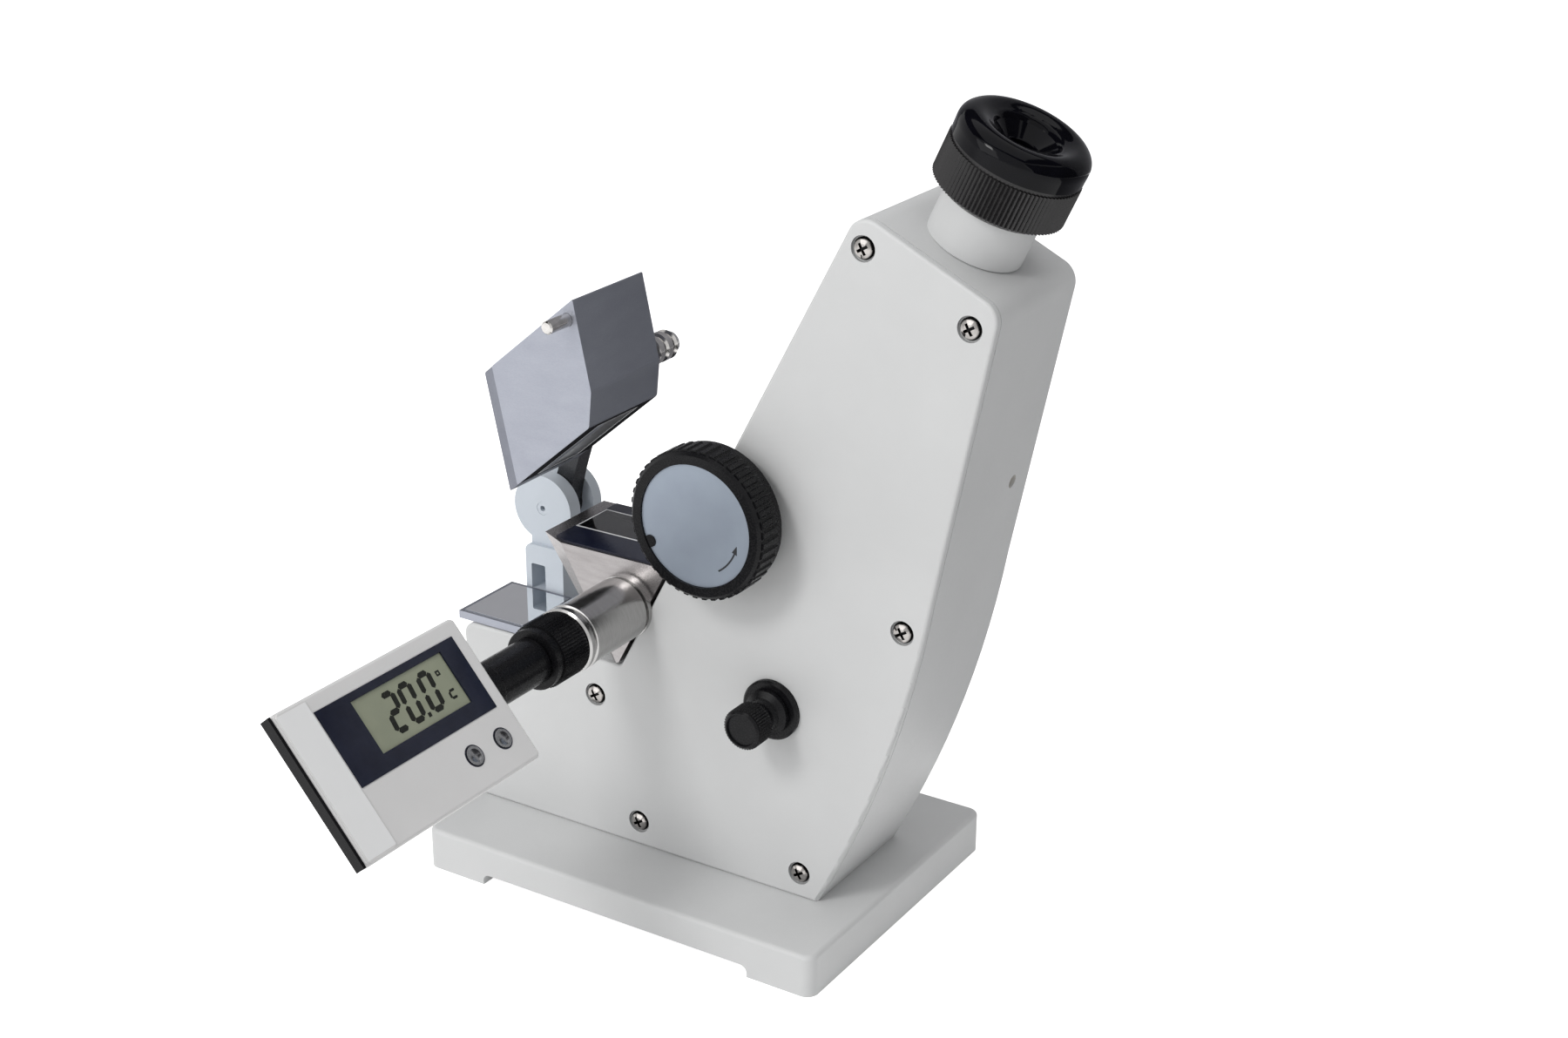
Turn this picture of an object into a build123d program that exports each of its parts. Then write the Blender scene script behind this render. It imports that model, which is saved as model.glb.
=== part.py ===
from build123d import *
import os
from math import atan2, cos, degrees, hypot, pi, radians, sin, sqrt

# Bench refractometer with a hinged pair of prisms, a leaning telescope body and a base plate.
# Millimetres. Places are measured from the base's left front lower corner, seen from the side
# that carries the lock knob: X to the right, towards the eyepiece, Y to the back, Z up.
# save() moves each piece to the part's own origin, under the middle of the whole outline.

# ---- driving dimensions -------------------------------------------------------------------
BASE_LENGTH = 134.0
BASE_WIDTH = 98.4
BASE_HEIGHT = 12.8
BASE_FOOT = 21.0            # length of the two foot strips under the short ends
BASE_CHANNEL = 3.4          # height of the channel between them

FRONT = 25.8                # front face of the cover plate
COVER = 2.5                 # cover plate thickness
BACK = 71.4                 # back face of the shell
WALL = 3.4                  # shell wall
MIDDLE = (FRONT + BACK) / 2
SHELF = 69.3                # top of the low left end of the shell
NOTCH_X = 53.6              # where the leaning column rises from that shelf
LEAN = 27.7                 # lean of the column's left edge from the vertical

TUBE_TILT = 24.7            # lean of the telescope from the vertical
TUBE_FOOT = (150.4, 203.4)  # x and z where its axis leaves the shell

PIVOT = (5.4, 97.7)         # x and z of the prism hinge pin
OPENING = 40.7              # how far the upper prism stands open at rest
PRISM_TOP = 103.6           # the measuring face

LOCK = (89.9, 125.5)        # x and z of the lock knob's shaft
LOCK_RADIUS = 21.2
INDEX = (105.0, 69.6)       # x and z of the index knob's shaft
MIRROR_S = -168.8           # place of the swinging mirror's shaft, along the telescope axis
AMICI_S = -98.0             # place of the dispersion pinion, along the telescope axis
MODULE = 0.5                # gear teeth of the index train

THERMO = (55.8, 88.7)       # x and z of the thermometer seat
CASE_LENGTH = 67.5
CASE_WIDTH = 42.6
CASE_DEPTH = 17.0
CASE_END = -40.3            # y of the case end that holds the stem

KNOB_BACK = 88.0            # rear face of the dispersion knob
ORIGIN_X = 86.83            # middle of the outline in X
ORIGIN_Y = (CASE_END - CASE_LENGTH - 0.9 + BASE_WIDTH) / 2

COVER_SCREWS = [(131.0, 204.0), (161.5, 188.3), (144.9, 102.3), (44.5, 57.8), (59.1, 20.4), (114.0, 20.4)]
BASE_SCREWS = [(14.0, 36.0), (14.0, 61.0), (113.4, 36.0), (113.4, 61.0)]


# ---- small helpers ------------------------------------------------------------------------
def slab(sketch, y_front, y_back):
    """A flat X-Z outline given its thickness from one y to another."""
    return extrude(Plane.XZ.offset(-y_back) * sketch, amount=y_back - y_front, dir=(0, -1, 0))


def disc_y(centre, radius, y_front, y_back):
    """A round bar lying along Y."""
    return slab(Pos(*centre) * Circle(radius), y_front, y_back)


def ring_y(centre, radius, bore, y_front, y_back):
    """A round collar lying along Y."""
    return slab(Pos(*centre) * (Circle(radius) - Circle(bore)), y_front, y_back)


def turned(profile):
    """A half profile of (radius, height) points turned about Z."""
    return revolve(Plane.XZ * Polygon(*profile, align=None), Axis.Z)


def turned_y(centre, profile):
    """A half profile of (radius, y) points turned about an axis along Y."""
    on_axis = Plane(origin=(centre[0], 0, centre[1]), x_dir=(1, 0, 0), z_dir=(0, 1, 0))
    return on_axis.location * turned(profile)


def polar(centre, radius, angle):
    """The point at a radius and an angle from +X towards +Z."""
    return (centre[0] + radius * cos(radians(angle)), centre[1] + radius * sin(radians(angle)))


def tilt_place(s):
    """x and z of a point on the telescope axis."""
    return (TUBE_FOOT[0] + s * sin(radians(TUBE_TILT)), TUBE_FOOT[1] + s * cos(radians(TUBE_TILT)))


TUBE = Plane(
    origin=(TUBE_FOOT[0], MIDDLE, TUBE_FOOT[1]),
    x_dir=(cos(radians(TUBE_TILT)), 0, -sin(radians(TUBE_TILT))),
    z_dir=(sin(radians(TUBE_TILT)), 0, cos(radians(TUBE_TILT))),
).location
MIRROR = tilt_place(MIRROR_S)
AMICI = tilt_place(AMICI_S)
PRISM_HEART = (51.0, 97.0)
BEAM = degrees(atan2(MIRROR[1] - PRISM_HEART[1], MIRROR[0] - PRISM_HEART[0]))


def opened(shape):
    """Turns a piece of the upper prism unit from closed to its open rest place."""
    pin = Axis((PIVOT[0], 0, PIVOT[1]), (0, -1, 0))
    return shape.rotate(pin, OPENING)


def save(name, shape):
    moved = Pos(-ORIGIN_X, -ORIGIN_Y, 0) * shape
    moved.label = name
    export_step(moved, f"parts/{name}.step")


def group(shapes):
    """Several separate solids kept together in one node."""
    solids = [solid for shape in shapes for solid in shape.solids()]
    return Compound(solids)


# ---- base and body ------------------------------------------------------------------------
def body_outline():
    """Side view of the body: curved user side, top square to the telescope, leaning left edge."""
    lean = sin(radians(LEAN)) / cos(radians(LEAN))
    top_left = (NOTCH_X + (213.4 - SHELF) * lean, 213.4)
    user_side = ThreePointArc((119.8, BASE_HEIGHT), (140.8, 62.2), (153.2, 112.0))
    rest = Polyline(
        (153.2, 112.0), (169.7, 193.9), top_left, (NOTCH_X, SHELF),
        (-4.0, SHELF), (1.8, BASE_HEIGHT), (119.8, BASE_HEIGHT),
    )
    outline = make_face(user_side.edges() + rest.edges())
    corners = outline.vertices().sort_by(Axis.Y)
    outline = fillet(corners[-2:], 6.0)
    shelf_end = [v for v in outline.vertices() if abs(v.X + 4.0) < 0.1]
    outline = fillet(shelf_end, 4.0)
    notch = [v for v in outline.vertices() if hypot(v.X - NOTCH_X, v.Y - SHELF) < 0.2]
    return fillet(notch, 2.0)


def base_plate():
    plate = Pos(BASE_LENGTH / 2, BASE_WIDTH / 2, 0) * extrude(
        RectangleRounded(BASE_LENGTH, BASE_WIDTH, 3.5), amount=BASE_HEIGHT
    )
    plate = fillet(plate.faces().sort_by(Axis.Z)[-1].edges(), 1.4)
    channel_length = BASE_LENGTH - 2 * BASE_FOOT
    channel = Pos(BASE_LENGTH / 2, BASE_WIDTH / 2, BASE_CHANNEL / 2) * Box(
        channel_length, BASE_WIDTH + 2, BASE_CHANNEL
    )
    roof = channel.faces().sort_by(Axis.Z)[-1].edges().filter_by(Axis.Y)
    plate = plate - fillet(roof, 2.0)
    for x, y in BASE_SCREWS:
        plate = plate - Pos(x, y, BASE_HEIGHT / 2) * Cylinder(2.7, BASE_HEIGHT + 2)
        plate = plate - Pos(x, y, 2.9) * Cylinder(4.8, 5.8)
    return plate


def base_screws():
    """Four cap screws that come up through the foot strips into the shell."""
    screws = []
    for x, y in BASE_SCREWS:
        head = Pos(x, y, 3.4) * Cylinder(4.2, 4.8)
        head = head - Pos(x, y, 1.0) * extrude(RegularPolygon(2.0, 6), amount=2.6)
        shank = Pos(x, y, 5.8) * extrude(Circle(2.3), amount=13.0)
        screws.append(head + shank)
    return group(screws)


def lean_hole(centre, angle, radius, start, length):
    """A round hole across the body's middle plane, at an angle seen from the side."""
    along = (cos(radians(angle)), 0, sin(radians(angle)))
    place = Plane(origin=(centre[0], MIDDLE, centre[1]), z_dir=along).location
    return place * Pos(0, 0, start) * extrude(Circle(radius), amount=length)


def shell_casting(outline):
    """Cast body: back wall and rim in one, open to the front, with bosses for the screws."""
    shell = slab(outline, FRONT + COVER, BACK)
    back_edges = shell.faces().sort_by(Axis.Y)[-1].edges()
    back_edges = [e for e in back_edges if e.center().Z > BASE_HEIGHT + 1]
    shell = fillet(back_edges, 1.9)
    inside = offset(outline, amount=-WALL, kind=Kind.INTERSECTION)
    hollow = slab(inside, FRONT + COVER - 1, BACK - WALL)
    for x, z in COVER_SCREWS:
        hollow = hollow - disc_y((x, z), 4.6, FRONT, BACK)
    for x, y in BASE_SCREWS:
        hollow = hollow - Pos(x, y, 17.0) * Cylinder(5.0, 12.0)
    # bearing bosses on the back wall
    hollow = hollow - disc_y(MIRROR, 5.5, BACK - 9.0, BACK)
    hollow = hollow - disc_y(AMICI, 8.0, BACK - 6.0, BACK)
    hollow = hollow - disc_y(LOCK, 8.5, FRONT, FRONT + 14.0)
    hollow = hollow - screw_well(4.6)
    shell = shell - hollow
    for x, z in COVER_SCREWS:
        shell = shell - disc_y((x, z), 1.5, FRONT, FRONT + 16.0)
    for x, y in BASE_SCREWS:
        shell = shell - Pos(x, y, 14.0) * Cylinder(2.35, 12.0)
    shell = shell - disc_y(LOCK, 3.05, FRONT, FRONT + 11.0)
    shell = shell - disc_y(MIRROR, 3.05, BACK - 12.0, BACK - 2.0)
    shell = shell - disc_y(AMICI, 5.0, BACK - 12.0, BACK + 2)
    shell = shell - disc_y(scale_window(), 6.0, BACK - 12.0, BACK + 2)
    shell = shell - TUBE * Pos(0, 0, -12) * Cylinder(12.6, 40.0)
    shell = shell - TUBE * extrude(Circle(13.3), amount=5.0)
    # way for the light from the prism seat, and the adjusting hole on the user side
    shell = shell - lean_hole(PRISM_HEART, BEAM, 8.5, 0, 30.0)
    shell = shell - screw_well(1.9)
    return shell + (telescope_saddle() & slab(inside, FRONT, BACK - 1.0))


def scale_window():
    """Centre of the lit window behind the glass scale."""
    return polar(MIRROR, 42.0, 30.0)


def screw_well(radius):
    """The round well in the user side that leads to the adjusting screw."""
    out = (0.9816, 0, -0.191)
    place = Plane(origin=(158.3, 60.2, 136.5), z_dir=out).location
    return place * Pos(0, 0, -9.0) * extrude(Circle(radius), amount=12.0)


def cover_plate(outline):
    """Front plate with rounded edge, screw counterbores and two knob bushes' holes."""
    cover = slab(outline, FRONT, FRONT + COVER)
    front_edges = cover.faces().sort_by(Axis.Y)[0].edges()
    cover = fillet(front_edges, 0.9)
    rear_edges = cover.faces().sort_by(Axis.Y)[-1].edges()
    cover = chamfer(rear_edges, 0.35)
    for x, z in COVER_SCREWS:
        cover = cover - disc_y((x, z), 1.7, FRONT - 1, FRONT + COVER + 1)
        cover = cover - disc_y((x, z), 3.5, FRONT - 1, FRONT + 1.1)
    cover = cover - disc_y(LOCK, 6.0, FRONT - 1, FRONT + COVER + 1)
    cover = cover - disc_y(INDEX, 5.0, FRONT - 1, FRONT + COVER + 1)
    return cover


def cover_screws():
    """Six pan head screws with cross recesses."""
    screws = []
    for x, z in COVER_SCREWS:
        head = turned_y((x, z), [(0, FRONT - 0.7), (1.4, FRONT - 0.6), (2.5, FRONT - 0.1),
                                 (3.0, FRONT + 0.6), (3.0, FRONT + 1.1), (0, FRONT + 1.1)])
        shank = disc_y((x, z), 1.45, FRONT + 1.1, FRONT + 14.0)
        cross = slab(Pos(x, z) * Rot(0, 0, 30) * (Rectangle(3.4, 0.8) + Rectangle(0.8, 3.4)),
                     FRONT - 1.0, FRONT + 0.5)
        screws.append(head + shank - cross)
    return group(screws)


def adjusting_screw():
    """Slotted screw deep in the side well, for setting the zero."""
    out = (0.9816, 0, -0.191)
    place = Plane(origin=(158.3, 60.2, 136.5), z_dir=out).location
    screw = Pos(0, 0, -8.0) * extrude(Circle(1.82), amount=6.0)
    slot = Pos(0, 0, -2.4) * Box(4.0, 0.5, 1.2)
    return place * (screw - slot)


# ---- telescope and eyepiece ---------------------------------------------------------------
def eyepiece_collar():
    """Painted collar that stands on the body and guides the focusing ring."""
    return TUBE * turned([(11.3, -5.0), (12.5, -5.0), (12.5, 0.0), (13.1, 0.0), (13.1, 18.2),
                          (12.6, 18.8), (11.3, 18.8)])


def telescope_tube():
    """Long tube from the eyepiece down; its wide lower end is the compensator's barrel."""
    tube = turned([(9.6, -76.0), (9.6, -1.0), (9.0, -1.0), (9.0, 1.0), (9.6, 1.0), (9.6, 3.6),
                   (11.1, 3.6), (11.1, -78.0), (14.4, -78.0), (14.4, -117.0), (12.9, -117.0),
                   (12.9, -80.0), (9.6, -80.0)])
    gate = Pos(0, 14.0, AMICI_S) * Cylinder(5.2, 12.0, rotation=(90, 0, 0))
    return TUBE * (tube - gate)


def lens(radius, s, thickness, bulge):
    """A round lens with one domed face, on the telescope axis."""
    dome = (radius ** 2 + bulge ** 2) / (2 * bulge)
    profile = Polyline((0, s), (radius, s), (radius, s + thickness))
    top = ThreePointArc((radius, s + thickness),
                        (radius / 2, s + thickness + bulge - dome + sqrt(dome ** 2 - radius ** 2 / 4)),
                        (0, s + thickness + bulge))
    side = Line((0, s + thickness + bulge), (0, s))
    face = make_face(profile.edges() + top.edges() + side.edges())
    return TUBE * revolve(Plane.XZ * face, Axis.Z)


def reticle_disc():
    """Thin glass disc with the crossed hairline, at the focus."""
    return TUBE * Cylinder(8.98, 1.2)


def lens_tube():
    """Sliding tube that carries both eyepiece lenses."""
    return TUBE * turned([(8.2, 6.0), (9.4, 6.0), (9.4, 25.2), (7.0, 25.2), (7.0, 24.2), (8.2, 24.2)])


def ribbed(radius, depth, count, fill, low, high):
    """A round bar along Z whose rim is cut into straight ribs."""
    pitch = 2 * pi * radius / count
    groove = Pos(radius, 0) * Rectangle(2 * depth, pitch * (1 - fill))
    return Pos(0, 0, low) * extrude(Circle(radius) - PolarLocations(0, count) * groove, amount=high - low)


def knurl_ring(radius, depth, count, low, high):
    """A ring outline of straight V ribs, as fine knurling has, given its height."""
    points = []
    for i in range(count):
        points.append((radius, 360.0 * i / count))
        points.append((radius - depth, 360.0 * (i + 0.5) / count))
    outline = Polygon(*[(r * cos(radians(a)), r * sin(radians(a))) for r, a in points], align=None)
    return Pos(0, 0, low) * extrude(outline, amount=high - low)


def diopter_ring():
    """Knurled focusing ring with its threaded inner sleeve."""
    knurl = knurl_ring(18.0, 0.55, 96, 14.6, 25.2)
    skirt = turned([(0, 13.0), (15.2, 13.0), (17.3, 14.6), (17.3, 26.4), (0, 26.4)])
    ring = knurl + skirt
    ring = ring - turned([(0, 12.0), (13.6, 12.0), (13.6, 21.6), (0, 21.6)])
    sleeve = turned([(9.5, 5.2), (11.1, 5.2), (11.1, 22.0), (9.5, 22.0)])
    ring = ring + sleeve
    return TUBE * (ring - Pos(0, 0, 20) * Cylinder(9.5, 30.0))


def eye_cup():
    """Glossy cup with a broad rounded brow that runs down into a round eye recess."""
    foot = Polyline((4.2, 28.3), (4.2, 25.6), (9.3, 25.6), (9.3, 26.4), (17.8, 26.4), (17.9, 29.6))
    brow = Spline((17.9, 29.6), (16.6, 32.6), (13.4, 33.9), (10.2, 33.0), (8.4, 31.4),
                  tangents=((0, 1), (-0.55, -1)))
    recess = Line((8.4, 31.4), (5.0, 28.3))
    ledge = Line((5.0, 28.3), (4.2, 28.3))
    half = make_face(foot.edges() + brow.edges() + recess.edges() + ledge.edges())
    return TUBE * revolve(Plane.XZ * half, Axis.Z)


def telescope_saddle():
    """Rib on the shell's back wall, bored for the lower tube."""
    saddle = Pos(0, 0, -58) * Cylinder(14.5, 8.0) + Pos(0, 10.0, -58) * Box(20.0, 20.0, 8.0)
    return TUBE * (saddle - Pos(0, 0, -58) * Cylinder(11.15, 12.0))


# ---- dispersion compensator ---------------------------------------------------------------
CROWN_TEETH = 36
CROWN_RADIUS = 11.0
PINION_TEETH = 12
PINION_RADIUS = CROWN_RADIUS * PINION_TEETH / CROWN_TEETH


def compensator_cell(facing):
    """A turning cell with its crown of 36 teeth; facing is +1 for the lower cell."""
    pitch_face = -PINION_RADIUS
    cell = turned([(0, pitch_face - 13.6), (12.6, pitch_face - 13.6), (12.6, pitch_face - 0.9),
                   (0, pitch_face - 0.9)])
    tooth = Pos(CROWN_RADIUS, 0, pitch_face - 0.5) * Box(2.8, 0.72, 1.4)
    teeth = PolarLocations(0, CROWN_TEETH) * tooth
    cell = cell + list(teeth)
    window = Pos(0, 0, pitch_face - 9.0) * Box(11.4, 11.4, 20.0)
    cell = cell - window
    place = Pos(0, 0, AMICI_S) * (Rot(0, 0, 0) if facing > 0 else Rot(180, 0, 0))
    return TUBE * place * cell


def compensator_prism(facing):
    """Cemented dispersion prism held in its cell."""
    length = 11.6
    block = Polygon((-5.6, 0), (5.6, 0), (5.6, length - 3.0), (-5.6, length), align=None)
    prism = extrude(Plane.XZ.offset(-5.6) * block, amount=11.2, dir=(0, -1, 0))
    place = Pos(0, 0, AMICI_S) * (Rot(0, 0, 0) if facing > 0 else Rot(180, 0, 0))
    return TUBE * place * Pos(0, 0, -PINION_RADIUS - 13.2) * prism


def spur_outline(teeth, pitch_radius, addendum, dedendum):
    """Outline of straight gear teeth, narrower at the tip than at the root."""
    points = []
    step = 360.0 / teeth
    root = pitch_radius - dedendum
    tip = pitch_radius + addendum
    for i in range(teeth):
        for radius, side in ((root, -0.32), (tip, -0.12), (tip, 0.12), (root, 0.32)):
            angle = step * (i + side)
            points.append((radius * cos(radians(angle)), radius * sin(radians(angle))))
    return Polygon(*points, align=None)


def dispersion_shaft():
    """Shaft with the small pinion that turns both cells opposite ways."""
    pinion = slab(Pos(*AMICI) * Rot(0, 0, 90 - TUBE_TILT + 15.0) * spur_outline(
        PINION_TEETH, PINION_RADIUS, 0.45, 0.75), MIDDLE + 9.6, MIDDLE + 12.4)
    return pinion + disc_y(AMICI, 2.6, MIDDLE + 12.4, BACK + 14.0)


def dispersion_bush():
    """Flanged bush in the back wall."""
    bush = ring_y(AMICI, 4.95, 2.65, BACK - 6.0, BACK)
    return bush + ring_y(AMICI, 8.6, 2.65, BACK, BACK + 1.4)


def dispersion_knob():
    """Ribbed handwheel on the back, with the graduated ring in front of it."""
    low = BACK + 6.4
    knob = ribbed(16.0, 0.7, 40, 0.5, low, KNOB_BACK - 0.6)
    knob = knob + Pos(0, 0, low - 0.0) * extrude(Circle(15.2), amount=KNOB_BACK - low)
    knob = knob - Pos(0, 0, KNOB_BACK - 0.8) * extrude(Circle(12.6), amount=2.0)
    knob = knob - Pos(0, 0, low - 1.0) * extrude(Circle(2.6), amount=9.6)
    place = Plane(origin=(AMICI[0], 0, AMICI[1]), x_dir=(1, 0, 0), z_dir=(0, 1, 0)).location
    return place * knob


def dispersion_scale():
    """Bevelled metal ring with the dispersion divisions."""
    return turned_y(AMICI, [(2.6, BACK + 2.2), (19.0, BACK + 2.2), (19.0, BACK + 3.6),
                            (16.4, BACK + 6.4), (2.6, BACK + 6.4)])


# ---- index knob, gear train, mirror and scale ---------------------------------------------
KNOB_TEETH = 12
IDLER_TEETH = 48
SECTOR_TEETH = 120
FIRST_DISTANCE = MODULE * (KNOB_TEETH + IDLER_TEETH) / 2
SECOND_DISTANCE = MODULE * (KNOB_TEETH + SECTOR_TEETH) / 2


def idler_place():
    """Where the double idler sits: in mesh with the knob's pinion and with the sector."""
    dx = INDEX[0] - MIRROR[0]
    dz = INDEX[1] - MIRROR[1]
    gap = hypot(dx, dz)
    along = (SECOND_DISTANCE ** 2 - FIRST_DISTANCE ** 2 + gap ** 2) / (2 * gap)
    across = sqrt(SECOND_DISTANCE ** 2 - along ** 2)
    return (MIRROR[0] + along * dx / gap + across * dz / gap,
            MIRROR[1] + along * dz / gap - across * dx / gap)


IDLER = idler_place()


def heading(start, end):
    return degrees(atan2(end[1] - start[1], end[0] - start[0]))


def gear(centre, teeth, y_front, y_back, first_tooth):
    """A straight gear along Y whose first tooth points at an angle."""
    outline = spur_outline(teeth, MODULE * teeth / 2, 0.42, 0.62)
    return slab(Pos(*centre) * Rot(0, 0, first_tooth) * outline, y_front, y_back)


def index_bush():
    """Black flanged bush of the index knob."""
    bush = ring_y(INDEX, 4.9, 2.05, FRONT, FRONT + COVER + 2.0)
    flange = turned_y(INDEX, [(2.05, FRONT - 1.8), (8.2, FRONT - 1.8), (8.8, FRONT - 1.2),
                              (8.8, FRONT), (2.05, FRONT)])
    return bush + flange


def index_knob():
    """Waisted black knob with a fine knurled head."""
    waist = turned([(0, 2.2), (6.6, 2.2), (6.6, 3.6), (4.9, 4.6), (4.5, 6.6), (4.9, 8.4),
                    (5.6, 9.2), (5.6, 15.4), (5.0, 16.0), (0, 16.0)])
    head = knurl_ring(6.0, 0.35, 44, 9.4, 15.2)
    knob = waist + head - Cylinder(2.0, 22.0)
    knob = knob - turned([(0, 15.4), (4.4, 15.4), (4.7, 16.2), (0, 16.2)])
    place = Plane(origin=(INDEX[0], FRONT, INDEX[1]), x_dir=(1, 0, 0), z_dir=(0, -1, 0)).location
    return place * knob


def index_shaft():
    """Knob shaft with its small pinion behind the cover."""
    shaft = disc_y(INDEX, 2.0, FRONT - 11.0, FRONT + 4.7)
    toward = heading(INDEX, IDLER)
    return shaft + gear(INDEX, KNOB_TEETH, FRONT + 4.7, FRONT + 8.2, toward)


def idler_gear():
    """Double gear: wide wheel driven by the knob, small pinion driving the sector."""
    wheel = gear(IDLER, IDLER_TEETH, FRONT + 4.9, FRONT + 8.0, heading(IDLER, INDEX) + 180.0 / IDLER_TEETH)
    pinion = gear(IDLER, KNOB_TEETH, FRONT + 8.0, FRONT + 12.2, heading(IDLER, MIRROR))
    return wheel + pinion - disc_y(IDLER, 1.55, FRONT, FRONT + 20.0)


def idler_stud():
    """Shouldered stud riveted to the cover."""
    return turned_y(IDLER, [(0, FRONT + COVER), (3.0, FRONT + COVER), (3.0, FRONT + 4.6),
                            (1.5, FRONT + 4.6), (1.5, FRONT + 13.6), (0, FRONT + 13.6)])


def sector_gear():
    """Arm with a short rack of teeth on its rim, clamped to the mirror's shaft."""
    toward = heading(MIRROR, IDLER)
    rim = MODULE * SECTOR_TEETH / 2
    wheel = spur_outline(SECTOR_TEETH, rim, 0.42, 0.62)
    wedge = Polygon((0, 0), (rim + 6, -11.0), (rim + 6, 11.0), align=None)
    arm = (wheel & wedge) - Circle(rim - 4.0) & wedge
    spoke = Polygon((0, -4.0), (rim - 2.5, -6.0), (rim - 2.5, 6.0), (0, 4.0), align=None)
    plate = arm + spoke + Circle(6.0) - Circle(3.0)
    turn = Rot(0, 0, toward + 180.0 / SECTOR_TEETH)
    return slab(Pos(*MIRROR) * turn * plate, FRONT + 8.9, FRONT + 11.6)


def mirror_shaft():
    """Shaft with the mirror's flat in the middle and the light arm of the glass scale behind."""
    shaft = disc_y(MIRROR, 3.0, FRONT + 8.4, BACK - 2.4)
    flat = slab(Pos(*MIRROR) * Rot(0, 0, mirror_angle()) * Pos(0, 4.0) * Rectangle(8.0, 8.0),
                MIDDLE - 9.6, MIDDLE + 9.6)
    return shaft - flat + scale_arm()


def mirror_angle():
    """Tilt of the mirror that sends the prism's light up the telescope."""
    return (BEAM + (90.0 - TUBE_TILT)) / 2


def swing_mirror():
    """Front-silvered plate on the shaft's flat."""
    turn = Rot(0, 0, mirror_angle())
    return slab(Pos(*MIRROR) * turn * Pos(0, 1.25) * Rectangle(24.0, 2.5), MIDDLE - 8.6, MIDDLE + 8.6)


def mirror_bridge():
    """Bridge that carries the mirror shaft's front bearing from the back wall."""
    x, z = MIRROR
    plate = slab(Pos(x, z - 3.0) * RectangleRounded(46.0, 16.0, 3.0), FRONT + 11.9, FRONT + 13.7)
    legs = [slab(Pos(x + side * 20.0, z - 7.5) * Rectangle(5.0, 7.0), FRONT + 13.7, BACK - WALL)
            for side in (-1, 1)]
    return plate + legs[0] + legs[1] - disc_y(MIRROR, 3.05, FRONT, BACK)


def scale_arm():
    """Light arm at the rear end of the mirror shaft, with the window for the glass scale."""
    hub = Circle(6.0) + Polygon((0, -4.5), (36.5, -4.0), (36.5, 4.0), (0, 4.5), align=None)
    frame = arc_band(35.0, 49.0, 19.0) - arc_band(38.4, 45.6, 16.0)
    return slab(Pos(*MIRROR) * Rot(0, 0, 30.0) * (hub + frame), BACK - 12.4, BACK - 10.8)


def arc_band(inner, outer, half_angle):
    """A piece of a flat ring, centred on +X."""
    reach = outer * 1.6
    wedge = Polygon((0, 0), (reach * cos(radians(half_angle)), -reach * sin(radians(half_angle))),
                    (reach * cos(radians(half_angle)), reach * sin(radians(half_angle))), align=None)
    return (Circle(outer) - Circle(inner)) & wedge


def glass_scale():
    """Curved glass strip with the index scale, cemented in the arm's window."""
    return slab(Pos(*MIRROR) * Rot(0, 0, 30.0) * arc_band(36.4, 47.6, 18.0), BACK - 10.8, BACK - 9.6)


def scale_condenser():
    """Small lens in the back wall that lights the glass scale."""
    return turned_y(scale_window(), [(0, BACK - 2.6), (5.4, BACK - 2.6), (5.4, BACK + 0.6),
                                     (3.8, BACK + 1.5), (0, BACK + 2.2)])


# ---- lower prism --------------------------------------------------------------------------
SEAT_BACK = 58.6
SEAT_TOP = PRISM_TOP - 0.6
GLASS_FRONT = 37.5
GLASS_BACK = 52.0


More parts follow.
